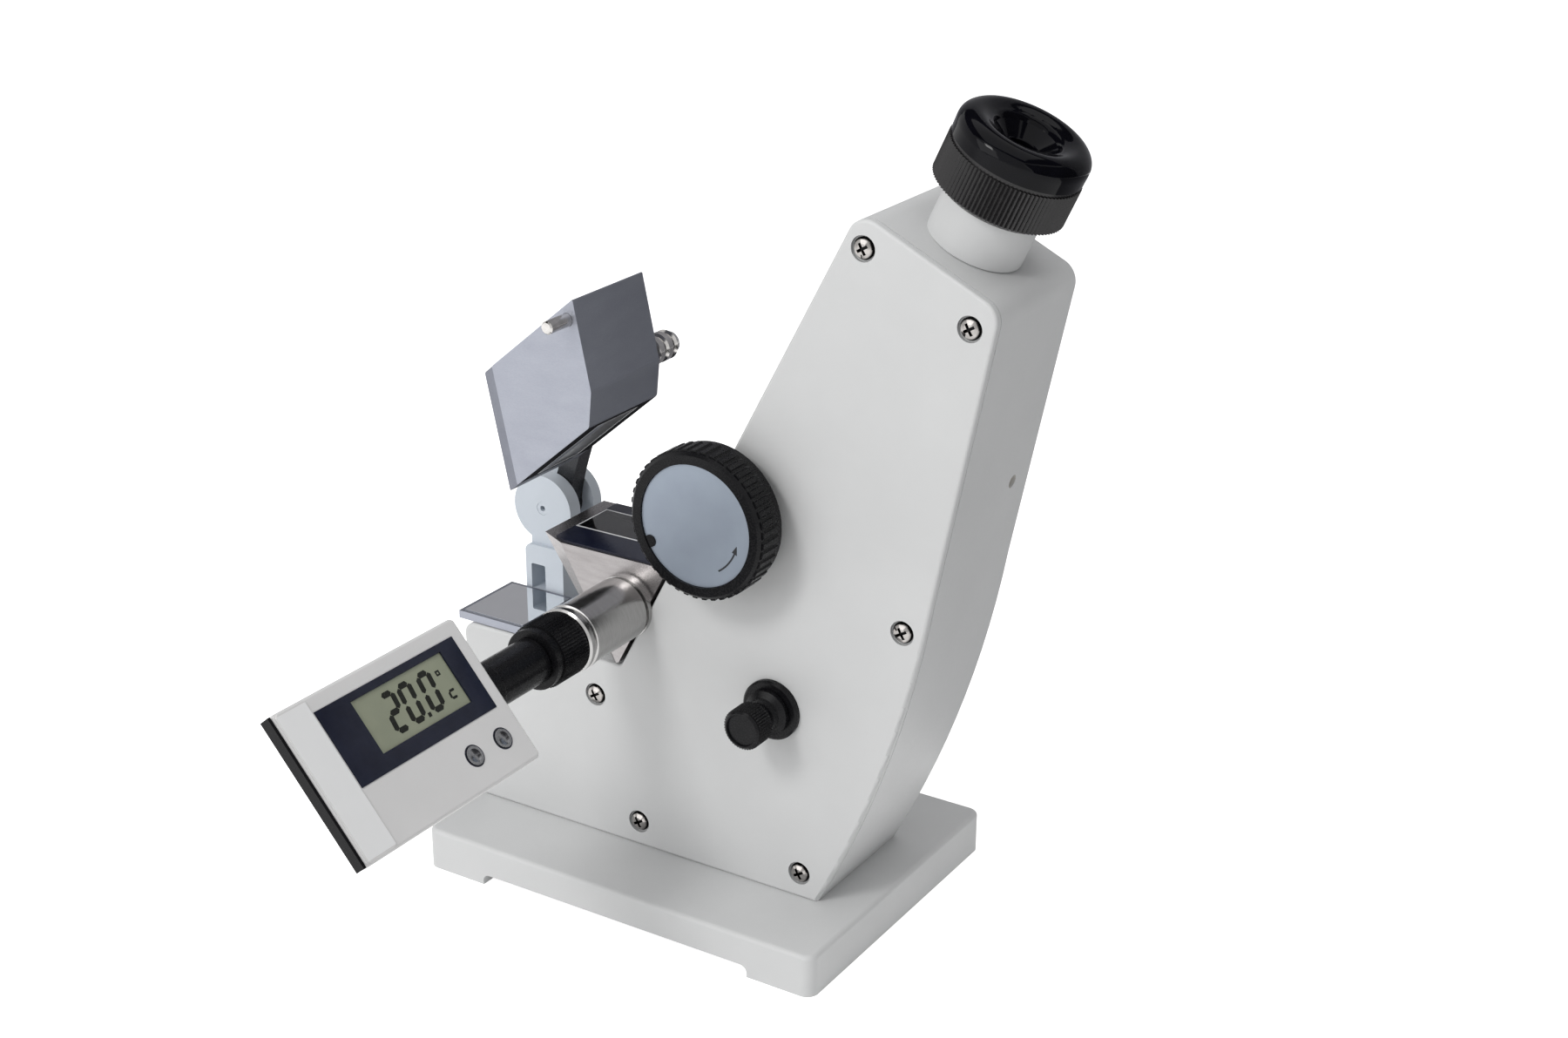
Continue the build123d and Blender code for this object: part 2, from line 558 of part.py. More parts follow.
def prism_seat():
    """V-shaped metal block that holds the measuring prism and the thermometer seat."""
    lean = sin(radians(LEAN)) / cos(radians(LEAN))
    right_top = NOTCH_X + (SEAT_TOP - SHELF) * lean - 0.9
    outline = Polygon((25.0, SEAT_TOP), (right_top, SEAT_TOP), (53.0, 70.2), (51.6, 68.9 + 1.0),
                      align=None)
    seat = slab(outline, FRONT, SEAT_BACK)
    # slanting bevel at the left front corner, widest at the top
    low = Vector(52.4, FRONT, 69.6)
    high = Vector(33.6, FRONT, SEAT_TOP)
    rear = Vector(25.0, FRONT + 4.2, SEAT_TOP)
    edge = (high - low).normalized()
    normal = edge.cross(rear - high).normalized()
    if normal.X > 0:
        normal = -normal
    bevel = Plane(origin=low, x_dir=edge, z_dir=normal).location * Pos(20, 0, 15) * Box(120, 80, 30)
    seat = seat - bevel
    # pocket for the glass, thermometer bore, light window on the left and way out on the right
    pocket = Polygon((30.6, SEAT_TOP + 1), (66.4, SEAT_TOP + 1), (66.4, 99.6), (58.2, 90.6), (45.0, 90.6),
                     (30.6, 99.4), align=None)
    seat = seat - slab(pocket, GLASS_FRONT, GLASS_BACK)
    seat = seat - disc_y(THERMO, 2.6, FRONT - 1, FRONT + 9.5)
    seat = seat - lean_hole(PRISM_HEART, BEAM, 6.4, 2, 40.0)
    side = heading((25.0, SEAT_TOP), (51.6, 69.9))
    out = (cos(radians(side - 90)), 0, sin(radians(side - 90)))
    window = Plane(origin=(38.3, (GLASS_FRONT + GLASS_BACK) / 2, 86.5), x_dir=(0, 1, 0), z_dir=out).location
    seat = seat - window * Box(13.0, 11.0, 16.0)
    for place in LOWER_HOSES:
        seat = seat - disc_y(place, 2.9, SEAT_BACK - 3.0, SEAT_BACK + 1)
    neck = lean_hole(PRISM_HEART, BEAM, 8.4, 16.0, 13.5) - lean_hole(PRISM_HEART, BEAM, 6.4, 2, 40.0)
    wall_line = Polygon((right_top + 60, SEAT_TOP), (right_top - 0.4, SEAT_TOP), (52.6, 70.2), (52.6, 20.0),
                        (right_top + 60, 20.0), align=None)
    return seat + (neck & slab(wall_line, FRONT, BACK))


def refracting_prism():
    """Measuring prism with its polished face uppermost."""
    glass = Polygon((30.8, PRISM_TOP), (66.2, PRISM_TOP), (66.2, 99.8), (58.0, 90.8), (45.2, 90.8),
                    (30.8, 99.6), align=None)
    return slab(glass, GLASS_FRONT, GLASS_BACK)


def prism_frame():
    """Dark sheet frame that seals the glass into the seat."""
    sheet = Polygon((34.3, FRONT + 0.9), (70.4, FRONT + 0.9), (70.4, SEAT_BACK - 0.8),
                    (30.2, SEAT_BACK - 0.8), (30.2, FRONT + 2.6), align=None)
    glass = Pos(48.5, (GLASS_FRONT + GLASS_BACK) / 2) * Rectangle(35.4, GLASS_BACK - GLASS_FRONT)
    return Pos(0, 0, SEAT_TOP) * extrude(sheet - glass, amount=PRISM_TOP - SEAT_TOP - 0.05, dir=(0, 0, 1))


# ---- hinge --------------------------------------------------------------------------------
EAR_FRONT = 54.0
EAR_BACK = 58.9
ARM_BACK = 65.4
REAR_EAR_BACK = 69.6


def hinge_post():
    """Bracket on the shelf with two round ears for the hinge pin and an open window."""
    ear = Pos(*PIVOT) * Circle(10.5)
    neck = Polygon((1.0, 84.0), (12.6, 84.0), (12.6, 92.0), (1.0, 92.0), align=None)
    ears = slab(ear + neck, EAR_FRONT, REAR_EAR_BACK)
    gap = slab(Pos(PIVOT[0], PIVOT[1] + 3.0) * Rectangle(30.0, 26.0), EAR_BACK, ARM_BACK + 0.3)
    column = Polygon((-0.4, SHELF), (13.6, SHELF), (13.6, 86.0), (-0.4, 86.0), align=None)
    bracket = slab(column, EAR_FRONT - 1.6, REAR_EAR_BACK)
    shoulders = bracket.edges().filter_by(Axis.Y).sort_by(Axis.Z)[-2:]
    bracket = fillet(shoulders, 2.2)
    window = slab(Pos(4.3, 75.6) * RectangleRounded(5.2, 8.4, 0.6), EAR_FRONT - 3, BACK)
    return ears - gap + bracket - window - disc_y(PIVOT, 2.05, EAR_FRONT - 1, BACK)


def hinge_pin():
    """Steel pin held in the ears, with the small centre hole at its end."""
    pin = disc_y(PIVOT, 2.0, EAR_FRONT + 0.1, REAR_EAR_BACK)
    return pin - disc_y(PIVOT, 0.9, EAR_FRONT, EAR_FRONT + 3.0)


def hinge_arm():
    """Dark curved arm from the pin to the back of the upper housing."""
    foot = Polygon((26.2, 105.0), (52.0, 105.0), (52.0, 113.5), (30.0, 113.5), align=None)
    root = Pos(*PIVOT) * Circle(6.4)
    neck = make_face(
        Spline((7.0, 104.0), (14.6, 104.8), (20.2, 109.6), (30.0, 113.5)).edges()
        + Spline((26.2, 105.0), (20.6, 101.6), (14.4, 97.4), (9.0, 92.6)).edges()
        + Polyline((30.0, 113.5), (26.2, 105.0)).edges() + Polyline((9.0, 92.6), (7.0, 104.0)).edges()
    )
    arm = slab(root + neck + foot, EAR_BACK + 0.3, ARM_BACK) + slab(foot, LID_BACK, EAR_BACK + 0.3)
    arm = arm - disc_y(PIVOT, 2.05, EAR_BACK, ARM_BACK + 1)
    for x in (35.0, 46.0):
        arm = arm - disc_y((x, 109.4), 1.6, EAR_BACK, ARM_BACK + 1)
        arm = arm - disc_y((x, 109.4), 2.9, ARM_BACK - 2.0, ARM_BACK + 1)
    return opened(arm)


def arm_screws():
    """Two countersunk screws that hold the arm to the housing."""
    screws = []
    for x in (35.0, 46.0):
        head = disc_y((x, 109.4), 2.7, ARM_BACK - 2.0, ARM_BACK - 0.2)
        shank = disc_y((x, 109.4), 1.45, LID_BACK - 6.0, ARM_BACK - 2.0)
        slot = slab(Pos(x, 109.4) * Rectangle(4.6, 0.7), ARM_BACK - 0.9, ARM_BACK)
        screws.append(opened(head + shank - slot))
    return screws


# ---- upper prism unit, drawn closed and then opened -----------------------------------------
LID_BACK = 58.7
LID_FACE = 103.9            # its mating plane when closed
LID = [(41.0, 134.8), (82.9, 134.3), (70.4, 111.3), (62.7, LID_FACE), (24.3, LID_FACE)]
PLATE_DEPTH = 3.6           # thickness of the light window plate on its left side
LOCK_PIN = (77.3, 131.0)


def inward(depth):
    """The left side's line moved inwards by a depth, as two points."""
    dx = LID[0][0] - LID[4][0]
    dz = LID[0][1] - LID[4][1]
    size = hypot(dx, dz)
    step = (depth * dz / size, -depth * dx / size)
    return (LID[4][0] + step[0], LID[4][1] + step[1]), (LID[0][0] + step[0], LID[0][1] + step[1])


def prism_housing():
    """Upper housing: a metal box open to the light window and to the prism face."""
    low, high = inward(PLATE_DEPTH)
    slope = (high[0] - low[0]) / (high[1] - low[1])
    foot_x = low[0] + (LID_FACE - low[1]) * slope
    head_x = high[0] + (LID[0][1] - high[1]) * slope
    outline = Polygon((head_x, LID[0][1]), LID[1], LID[2], LID[3], (foot_x, LID_FACE), align=None)
    body = slab(outline, FRONT, LID_BACK)
    body = chamfer(body.edges().filter_by(Axis.Y), 0.4)
    hollow = Polygon((head_x + 4.0, LID[0][1] - 4.5), (68.0, LID[0][1] - 4.5), (62.6, 113.5),
                     (59.8, LID_FACE - 1), (foot_x - 3.0, LID_FACE - 1), (foot_x - 3.0, LID_FACE + 3),
                     (head_x - 6.0, LID[0][1] - 4.5), align=None)
    body = body - slab(hollow, GLASS_FRONT, GLASS_BACK)
    body = body - disc_y(LOCK_PIN, 1.95, FRONT - 1, FRONT + 5.0)
    for x in (35.0, 46.0):
        body = body - disc_y((x, 109.4), 1.5, LID_BACK - 6.2, LID_BACK + 1)
    for place in UPPER_HOSES:
        body = body - disc_y(place, 2.9, LID_BACK - 3.0, LID_BACK + 1)
    return opened(body)


def window_plate():
    """Plate on the housing's left side that frames the light window."""
    low, high = inward(PLATE_DEPTH - 0.05)
    slope = (high[0] - low[0]) / (high[1] - low[1])
    foot_x = low[0] + (LID_FACE - low[1]) * slope
    head_x = high[0] + (LID[0][1] - high[1]) * slope
    side_view = Polygon(LID[4], LID[0], (head_x, LID[0][1]), (foot_x, LID_FACE), align=None)
    plate = slab(side_view, FRONT + 0.6, LID_BACK - 0.6)
    plate = chamfer(plate.edges().filter_by(Axis.Y), 0.35)
    centre = ((LID[0][0] + LID[4][0]) / 2, (LID[0][1] + LID[4][1]) / 2)
    side = heading(LID[4], LID[0])
    hole = slab(Pos(*centre) * Rot(0, 0, side) * Rectangle(20.0, 12.0), 36.0, 53.5)
    return opened(plate - hole)


def frosted_window():
    """Ground glass pane in that window."""
    centre = ((LID[0][0] + LID[4][0]) / 2, (LID[0][1] + LID[4][1]) / 2)
    side = heading(LID[4], LID[0])
    pane = slab(Pos(*centre) * Rot(0, 0, side) * Pos(0, -1.9) * Rectangle(20.0, 1.4), 36.0, 53.5)
    return opened(pane)


def incident_prism():
    """Upper prism: ground mating face below, light face to the window."""
    low, high = inward(PLATE_DEPTH + 0.2)
    slope = (high[0] - low[0]) / (high[1] - low[1])
    foot = (low[0] + (LID_FACE + 0.3 - low[1]) * slope, LID_FACE + 0.05)
    head = (foot[0] + 19.0 * slope, foot[1] + 19.0)
    glass = Polygon((foot[0] + 1.0, foot[1]), (59.6, foot[1]), (59.6, foot[1] + 3.0),
                    (head[0] + 1.0, head[1]), align=None)
    return opened(slab(glass, GLASS_FRONT, GLASS_BACK))


def lock_pin():
    """Bright pin that the lock knob's cam closes over."""
    pin = turned_y(LOCK_PIN, [(0, 16.6), (1.5, 16.6), (1.9, 17.0), (1.9, FRONT + 4.8), (0, FRONT + 4.8)])
    return opened(pin)


UPPER_HOSES = [(66.0, 115.8), (50.0, 127.5)]
LOWER_HOSES = [(38.5, 97.6), (60.5, 98.0)]
HOSE_LAND = 4.4
HOSE_REACH = 14.4


def hose_connectors(places, face_y):
    """Plated nipples for the water hoses, each with two ridges and a through bore."""
    nipples = []
    for place in places:
        y = face_y
        nipples.append(turned_y(place, [
            (1.5, y - 2.8), (2.85, y - 2.8), (2.85, y), (4.8, y), (4.8, y + 1.6), (3.6, y + 2.0),
            (3.6, y + 3.2), (HOSE_LAND, y + 3.7), (HOSE_LAND, y + 5.7), (3.6, y + 6.2), (3.6, y + 7.4),
            (HOSE_LAND, y + 7.9), (HOSE_LAND, y + 9.9), (3.6, y + 10.4), (3.6, y + 11.6),
            (HOSE_LAND, y + 12.1), (3.4, y + HOSE_REACH), (1.5, y + HOSE_REACH),
        ]))
    return nipples


def upper_hoses():
    return group([opened(n) for n in hose_connectors(UPPER_HOSES, LID_BACK)])


def lower_hoses():
    return group(hose_connectors(LOWER_HOSES, SEAT_BACK))


# ---- reflector and shade ------------------------------------------------------------------
REFLECTOR_HINGE = (21.5, 71.9)


def reflector_frame():
    """Shallow metal tray that lies on the shelf and swings up on its right edge."""
    tray = slab(Polygon((-5.8, 69.6), (18.4, 69.6), (18.4, 72.0), (-5.8, 72.0), align=None), 26.6, 51.9)
    pocket = slab(Polygon((-4.6, 70.6), (17.2, 70.6), (17.2, 73.0), (-4.6, 73.0), align=None), 27.8, 50.7)
    knuckle = disc_y(REFLECTOR_HINGE, 1.9, 31.0, 48.8)
    link = slab(Polygon((17.8, 69.9), (21.0, 70.3), (21.0, 73.4), (17.8, 72.0), align=None), 31.0, 48.8)
    return tray - pocket + knuckle + link - disc_y(REFLECTOR_HINGE, 0.8, 25.0, 60.0)


def reflector_mirror():
    """Grey-backed mirror glass in the tray."""
    return slab(Polygon((-4.5, 70.6), (17.1, 70.6), (17.1, 72.2), (-4.5, 72.2), align=None), 27.9, 50.6)


def reflector_hinge():
    """Two small ears and a pin on the shelf."""
    x, z = REFLECTOR_HINGE
    ear = Pos(x, z) * Circle(2.2) + Pos(x, (SHELF + z) / 2) * Rectangle(4.4, z - SHELF)
    pin = disc_y(REFLECTOR_HINGE, 0.75, 28.4, 51.4)
    return [slab(ear, 28.4, 30.7) + slab(ear, 49.1, 51.4) + pin]


SHADE_SIDE = heading((25.0, SEAT_TOP), (51.6, 69.9))


def shade_plane(lift):
    """Plane of the seat's left window, moved outwards; local x is +Y, local y runs down the slope."""
    out = (cos(radians(SHADE_SIDE - 90)), 0, sin(radians(SHADE_SIDE - 90)))
    mid = (37.4 + lift * out[0], (GLASS_FRONT + GLASS_BACK) / 2, 87.57 + lift * out[2])
    return Plane(origin=mid, x_dir=(0, 1, 0), z_dir=out).location


def shade_plate():
    """Thin plate that turns on one screw and covers the lower light window."""
    plate = RectangleRounded(24.0, 18.0, 2.0)
    tab = Pos(13.5, 0) * RectangleRounded(6.0, 8.0, 1.5)
    hole = Pos(-9.0, -5.4) * Circle(1.55)
    return shade_plane(0.3) * extrude(plate + tab - hole, amount=1.2)


def shade_screw():
    """Shoulder screw that the plate turns on."""
    screw = extrude(Circle(1.45), amount=1.8) + Pos(0, 0, 1.8) * extrude(Circle(2.8), amount=1.2)
    screw = screw - Pos(0, 0, 2.8) * Box(6.0, 0.6, 1.0)
    return shade_plane(0.0) * Pos(-9.0, -5.4, 0) * screw


# ---- lock knob ----------------------------------------------------------------------------
LOCK_FRONT = 10.5
LOCK_REAR = 21.5
LOCK_CAVITY = 17.0
DISC_RADIUS = 17.2
CAM_LAND = 16.1
CUP_FLOOR = LOCK_FRONT + 4.4


def lock_knob():
    """Moulded cup with 45 ribs; its skirt has an entry slot and a cam land for the pin."""
    ribs = 45
    x, z = LOCK
    outline = Circle(LOCK_RADIUS)
    flute = Pos(LOCK_RADIUS + 0.25, 0) * Circle(0.85)
    outline = outline - PolarLocations(0, ribs) * flute
    knob = slab(Pos(x, z) * outline, LOCK_FRONT + 1.2, LOCK_REAR - 2.4)
    knob = knob + turned_y(LOCK, [(0, LOCK_FRONT), (19.8, LOCK_FRONT), (20.6, LOCK_FRONT + 0.8),
                                  (20.6, LOCK_FRONT + 1.4), (0, LOCK_FRONT + 1.4)])
    knob = knob + disc_y(LOCK, 20.5, LOCK_REAR - 2.6, LOCK_REAR)
    knob = knob - disc_y(LOCK, DISC_RADIUS + 0.1, LOCK_FRONT - 1, LOCK_FRONT + 1.5)
    cavity = Circle(LOCK_CAVITY) - sector(LOCK_CAVITY + 1, 55.0, 128.0) + Circle(CAM_LAND)
    knob = knob - slab(Pos(x, z) * cavity, CUP_FLOOR, LOCK_REAR + 1)
    slot = sector(LOCK_RADIUS + 4, 128.0, 160.0)
    knob = knob - (slab(Pos(x, z) * slot, 15.9, LOCK_REAR + 1) - disc_y(LOCK, CAM_LAND - 2, 0, 40))
    knob = knob + disc_y(LOCK, 7.0, CUP_FLOOR - 1, FRONT - 1.8)
    knob = knob - disc_y(LOCK, 3.0, LOCK_FRONT + 2.4, FRONT)
    notch = polar(LOCK, DISC_RADIUS - 0.9, 207.0)
    return knob + disc_y(notch, 1.7, LOCK_FRONT + 0.3, LOCK_FRONT + 2.0)


def sector(radius, start, end):
    """A pie slice from one angle to another."""
    steps = [start + (end - start) * i / 6 for i in range(7)]
    rim = [(radius * cos(radians(a)), radius * sin(radians(a))) for a in steps]
    return Polygon((0, 0), *rim, align=None)


def lock_disc():
    """Satin face plate set in the knob, notched for its index mark."""
    plate = disc_y(LOCK, DISC_RADIUS, LOCK_FRONT + 0.6, LOCK_FRONT + 1.5)
    return plate - disc_y(polar(LOCK, DISC_RADIUS - 0.9, 207.0), 1.75, LOCK_FRONT, LOCK_FRONT + 2)


def lock_shaft():
    return disc_y(LOCK, 2.95, LOCK_FRONT + 2.6, FRONT + 9.4)


def lock_bush():
    """Flanged bush in the cover."""
    flange = ring_y(LOCK, 9.0, 3.0, FRONT - 1.5, FRONT)
    return flange + ring_y(LOCK, 5.95, 3.0, FRONT, FRONT + COVER)


# ---- thermometer --------------------------------------------------------------------------
SEAT_END = -3.0
NUT_END = -17.0


def thermometer_seat():
    """Plated tube screwed into the prism seat, with a root groove and two bright rings."""
    return turned_y(THERMO, [
        (5.4, SEAT_END), (8.9, SEAT_END), (9.5, SEAT_END + 0.5), (9.5, SEAT_END + 1.8),
        (8.9, SEAT_END + 2.1), (8.9, SEAT_END + 3.0), (9.5, SEAT_END + 3.3), (9.5, SEAT_END + 4.6),
        (9.2, SEAT_END + 5.0), (9.2, FRONT - 2.6), (8.2, FRONT - 2.4), (8.2, FRONT - 1.6),
        (9.2, FRONT - 1.4), (9.2, FRONT), (2.7, FRONT), (2.7, FRONT - 3.0), (5.4, FRONT - 3.0),
    ])


def thermometer_nut():
    """Black gland nut with fine ribs."""
    nut = knurl_ring(9.2, 0.35, 60, 0.6, 11.0) + turned([(0, 0), (8.6, 0), (8.6, 13.6), (8.0, 14.0 - 0.3),
                                                       (0, 13.7)])
    nut = nut - Pos(0, 0, -1) * extrude(Circle(4.6), amount=20.0)
    place = Plane(origin=(THERMO[0], SEAT_END - 0.15, THERMO[1]), x_dir=(1, 0, 0), z_dir=(0, -1, 0)).location
    nut = place * nut
    return nut + ring_y(THERMO, 5.3, 4.6, SEAT_END - 0.2, SEAT_END + 9.0)


def thermometer_stem():
    """Black sleeve and steel probe of the thermometer."""
    sleeve = turned_y(THERMO, [(0, CASE_END - 3.0), (5.6, CASE_END - 3.0), (5.6, CASE_END), (7.2, CASE_END),
                               (7.2, CASE_END + 3.0), (6.6, CASE_END + 4.0), (6.6, NUT_END - 0.4),
                               (4.5, NUT_END - 0.4), (4.5, SEAT_END + 6.0), (2.0, SEAT_END + 6.0),
                               (2.0, FRONT + 8.0), (1.0, FRONT + 9.0), (0, FRONT + 9.0)])
    return sleeve


def case_frame(lift):
    """Case axes: local x across the display, local y along the stem, local z out of the face."""
    across = (0.65, 0, -0.76)
    out = (0.76, 0, 0.65)
    middle = CASE_END - CASE_LENGTH / 2
    shift = 1.4
    origin = (THERMO[0] + shift * across[0] + lift * out[0], middle,
              THERMO[1] + shift * across[2] + lift * out[2])
    return Plane(origin=origin, x_dir=across, z_dir=out).location


FACE = 7.7                  # height of the display face over the stem axis
SPLIT = 5.3                 # height of the joint between the case halves
TIP = 3.2                   # depth of the case at its thin far end
BEZEL = (-6.2, 3.8)         # centre of the display bezel on the face
BEZEL_SIZE = (21.6, 51.6)
GLASS = (-7.4, 6.3)
GLASS_SIZE = (15.0, 34.0)
BUTTONS = [(12.3, 14.1), (12.3, 25.4)]
BAND = 11.4                 # length of the raised end band


def case_front():
    """Display half of the thermometer's case: a shallow lid with a raised band at its far end."""
    half = Pos(0, 0, SPLIT) * extrude(RectangleRounded(CASE_WIDTH, CASE_LENGTH, 1.6), amount=FACE - SPLIT)
    half = fillet(half.faces().sort_by(Axis.Z)[-1].edges(), 0.9)
    band_middle = -CASE_LENGTH / 2 + BAND / 2
    band = Pos(0, band_middle + 0.5, FACE - 0.4) * extrude(
        RectangleRounded(CASE_WIDTH - 1.0, BAND - 1.0, 1.2), amount=0.7)
    half = half + fillet(band.faces().sort_by(Axis.Z)[-1].edges(), 0.25)
    half = half - Pos(0, 0, SPLIT - 1) * extrude(
        RectangleRounded(CASE_WIDTH - 3.6, CASE_LENGTH - 3.6, 1.0), amount=FACE - 1.8 - SPLIT + 1)
    recess = Pos(BEZEL[0], BEZEL[1], FACE - 0.7) * extrude(Rectangle(*BEZEL_SIZE), amount=2.0)
    opening = Pos(GLASS[0], GLASS[1], 0) * extrude(Rectangle(*GLASS_SIZE), amount=FACE + 2)
    half = half - recess - opening
    for x, y in BUTTONS:
        half = half - Pos(x, y, 0) * extrude(Circle(2.7), amount=FACE + 2)
    return case_frame(0) * (half - stem_bore())


def stem_bore():
    """Bore for the stem in the case end, in case axes."""
    return Pos(-1.4, CASE_LENGTH / 2 - 3.0, 0) * Cylinder(5.65, 10.0, rotation=(90, 0, 0))


def case_back():
    """Battery half of the thermometer's case, deep at the stem and thin at the far end."""
    end = CASE_LENGTH / 2
    deep = FACE - CASE_DEPTH
    side_view = Polygon((-end, SPLIT), (-end, FACE - TIP), (end - 26.0, deep), (end, deep), (end, SPLIT),
                        align=None)
    half = extrude(Plane.YZ.offset(-CASE_WIDTH / 2) * side_view, amount=CASE_WIDTH, dir=(1, 0, 0))
    long_edges = [e for e in half.edges() if e.center().Z < SPLIT - 0.5 and abs(e.center().X) > 20]
    half = fillet([e for e in long_edges if abs(e.center().Y) < end - 1], 1.6)
    core_view = Polygon((-end + 14.0, SPLIT + 1), (-end + 14.0, SPLIT - 1.2), (end - 26.0, deep + 2.0),
                        (end - 1.8, deep + 2.0), (end - 1.8, SPLIT + 1), align=None)
    core = extrude(Plane.YZ.offset(-CASE_WIDTH / 2 + 2.0) * core_view, amount=CASE_WIDTH - 4.0, dir=(1, 0, 0))
    return case_frame(0) * (half - core - stem_bore())


def case_end_cap():
    """Black strip that closes the far end of the case."""
    cap = Pos(0, -CASE_LENGTH / 2 - 0.45, FACE - TIP / 2) * Box(CASE_WIDTH - 0.4, 0.9, TIP)
    return case_frame(0) * cap


def display_bezel():
    """Dark glossy window frame set in the face."""
    frame = Pos(BEZEL[0], BEZEL[1], FACE - 0.7) * extrude(
        Rectangle(BEZEL_SIZE[0] - 0.1, BEZEL_SIZE[1] - 0.1) , amount=0.9)
    hole = Pos(GLASS[0], GLASS[1], 0) * extrude(Rectangle(*GLASS_SIZE), amount=FACE + 2)
    return case_frame(0) * (frame - hole)


def display_glass():
    """Liquid crystal panel behind the window."""
    panel = Pos(GLASS[0], GLASS[1], FACE - 2.9) * extrude(
        Rectangle(GLASS_SIZE[0] - 0.1, GLASS_SIZE[1] - 0.1), amount=2.6)
    return case_frame(0) * panel


def display_button(index):
    """Small plated button with a dished top."""
    x, y = BUTTONS[index]
    button = Pos(x, y, FACE - 2.4) * extrude(Circle(2.6), amount=2.7)
    dish = Pos(x, y, FACE + 6.0) * Sphere(6.0)
    return case_frame(0) * (button - dish)


# ---- build --------------------------------------------------------------------------------
def main():
    os.makedirs("parts", exist_ok=True)
    outline = body_outline()
    save("base_plate", base_plate())
    save("base_screws", base_screws())
    save("shell_casting", shell_casting(outline))
    save("cover_plate", cover_plate(outline))
    save("cover_screws", cover_screws())
    save("adjusting_screw", adjusting_screw())

    save("eyepiece_collar", eyepiece_collar())
    save("telescope_tube", telescope_tube())
    save("objective_lens", lens(9.5, -75.0, 3.0, 0.8))
    save("reticle_disc", reticle_disc())
    save("lens_tube", lens_tube())
    save("eyepiece_lenses", group([lens(8.1, 7.4, 2.4, 1.0), lens(8.1, 19.2, 2.6, 1.4)]))
    save("diopter_ring", diopter_ring())
    save("eye_cup", eye_cup())

    save("lower_cell", compensator_cell(1))
    save("lower_dispersion_prism", compensator_prism(1))
    save("upper_cell", compensator_cell(-1))
    save("upper_dispersion_prism", compensator_prism(-1))
    save("dispersion_shaft", dispersion_shaft())
    save("dispersion_knob", dispersion_knob())
    save("dispersion_scale", dispersion_scale())

    save("inner_bearings", group([dispersion_bush(), lock_bush(), idler_stud(), mirror_bridge()]))
    save("index_bush", index_bush())
    save("index_knob", index_knob())
    save("index_shaft", index_shaft())
    save("idler_gear", idler_gear())
    save("sector_gear", sector_gear())
    save("mirror_shaft", mirror_shaft())
    save("swing_mirror", swing_mirror())
    save("glass_scale", glass_scale())
    save("scale_condenser", scale_condenser())

    save("prism_seat", prism_seat())
    save("refracting_prism", refracting_prism())
    save("prism_frame", prism_frame())
    save("hinge_post", hinge_post())
    save("hinge_pin", hinge_pin())
    save("hinge_arm", group([hinge_arm(), *arm_screws()]))
    save("prism_housing", prism_housing())
    save("window_plate", window_plate())
    save("frosted_window", frosted_window())
    save("incident_prism", incident_prism())
    save("lock_pin", lock_pin())
    save("upper_hoses", upper_hoses())
    save("lower_hoses", lower_hoses())

    save("reflector_frame", reflector_frame())
    save("reflector_mirror", reflector_mirror())
    save("flap_fittings", group([*reflector_hinge(), shade_screw()]))
    save("shade_plate", shade_plate())

    save("lock_knob", group([lock_knob(), lock_shaft()]))
    save("lock_disc", lock_disc())

    save("thermometer_seat", thermometer_seat())
    save("thermometer_nut", thermometer_nut())
    save("thermometer_stem", thermometer_stem())
    save("case_front", case_front())
    save("case_back", case_back())
    save("case_end_cap", case_end_cap())
    save("display_bezel", display_bezel())
    save("display_glass", display_glass())
    save("display_button_1", display_button(0))
    save("display_button_2", display_button(1))


main()
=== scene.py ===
import bpy, bmesh, math
from mathutils import Vector, Matrix


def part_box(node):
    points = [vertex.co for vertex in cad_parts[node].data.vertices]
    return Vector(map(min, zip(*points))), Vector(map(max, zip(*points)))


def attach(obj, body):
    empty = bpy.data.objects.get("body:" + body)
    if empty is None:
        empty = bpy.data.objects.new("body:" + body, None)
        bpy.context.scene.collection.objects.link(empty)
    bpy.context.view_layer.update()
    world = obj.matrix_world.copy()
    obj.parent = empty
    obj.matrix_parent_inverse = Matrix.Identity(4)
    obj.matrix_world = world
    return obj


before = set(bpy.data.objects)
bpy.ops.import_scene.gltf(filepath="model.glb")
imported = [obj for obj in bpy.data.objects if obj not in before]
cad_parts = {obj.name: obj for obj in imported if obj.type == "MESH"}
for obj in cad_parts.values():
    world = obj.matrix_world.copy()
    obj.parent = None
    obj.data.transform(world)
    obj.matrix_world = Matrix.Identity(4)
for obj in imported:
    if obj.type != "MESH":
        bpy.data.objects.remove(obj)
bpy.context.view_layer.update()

# Camera and light: the camera stands high on the user's left. A small lamp hangs high in front,
# a broad one stands behind it, one hangs overhead and a weak one fills from the right. The bench
# is white paper that keeps only the soft contact shadow.
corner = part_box("base_plate")[0]          # the base plate's left front lower corner
camera_data = bpy.data.cameras.new("camera")
camera_data.sensor_width = 36.0
camera_data.lens = 54.495
camera = bpy.data.objects.new("camera", camera_data)
bpy.context.scene.collection.objects.link(camera)
bpy.context.scene.camera = camera
look_back = Vector((0.4892, -0.7869, 0.3762)).normalized()
level_right = Vector((0, 0, 1)).cross(look_back).normalized()
level_up = look_back.cross(level_right)
roll = math.radians(0.33)
camera_right = level_right * math.cos(roll) + level_up * math.sin(roll)
camera_up = look_back.cross(camera_right)
stand_point = corner + Vector((0.4163, -0.4695, 0.3634))
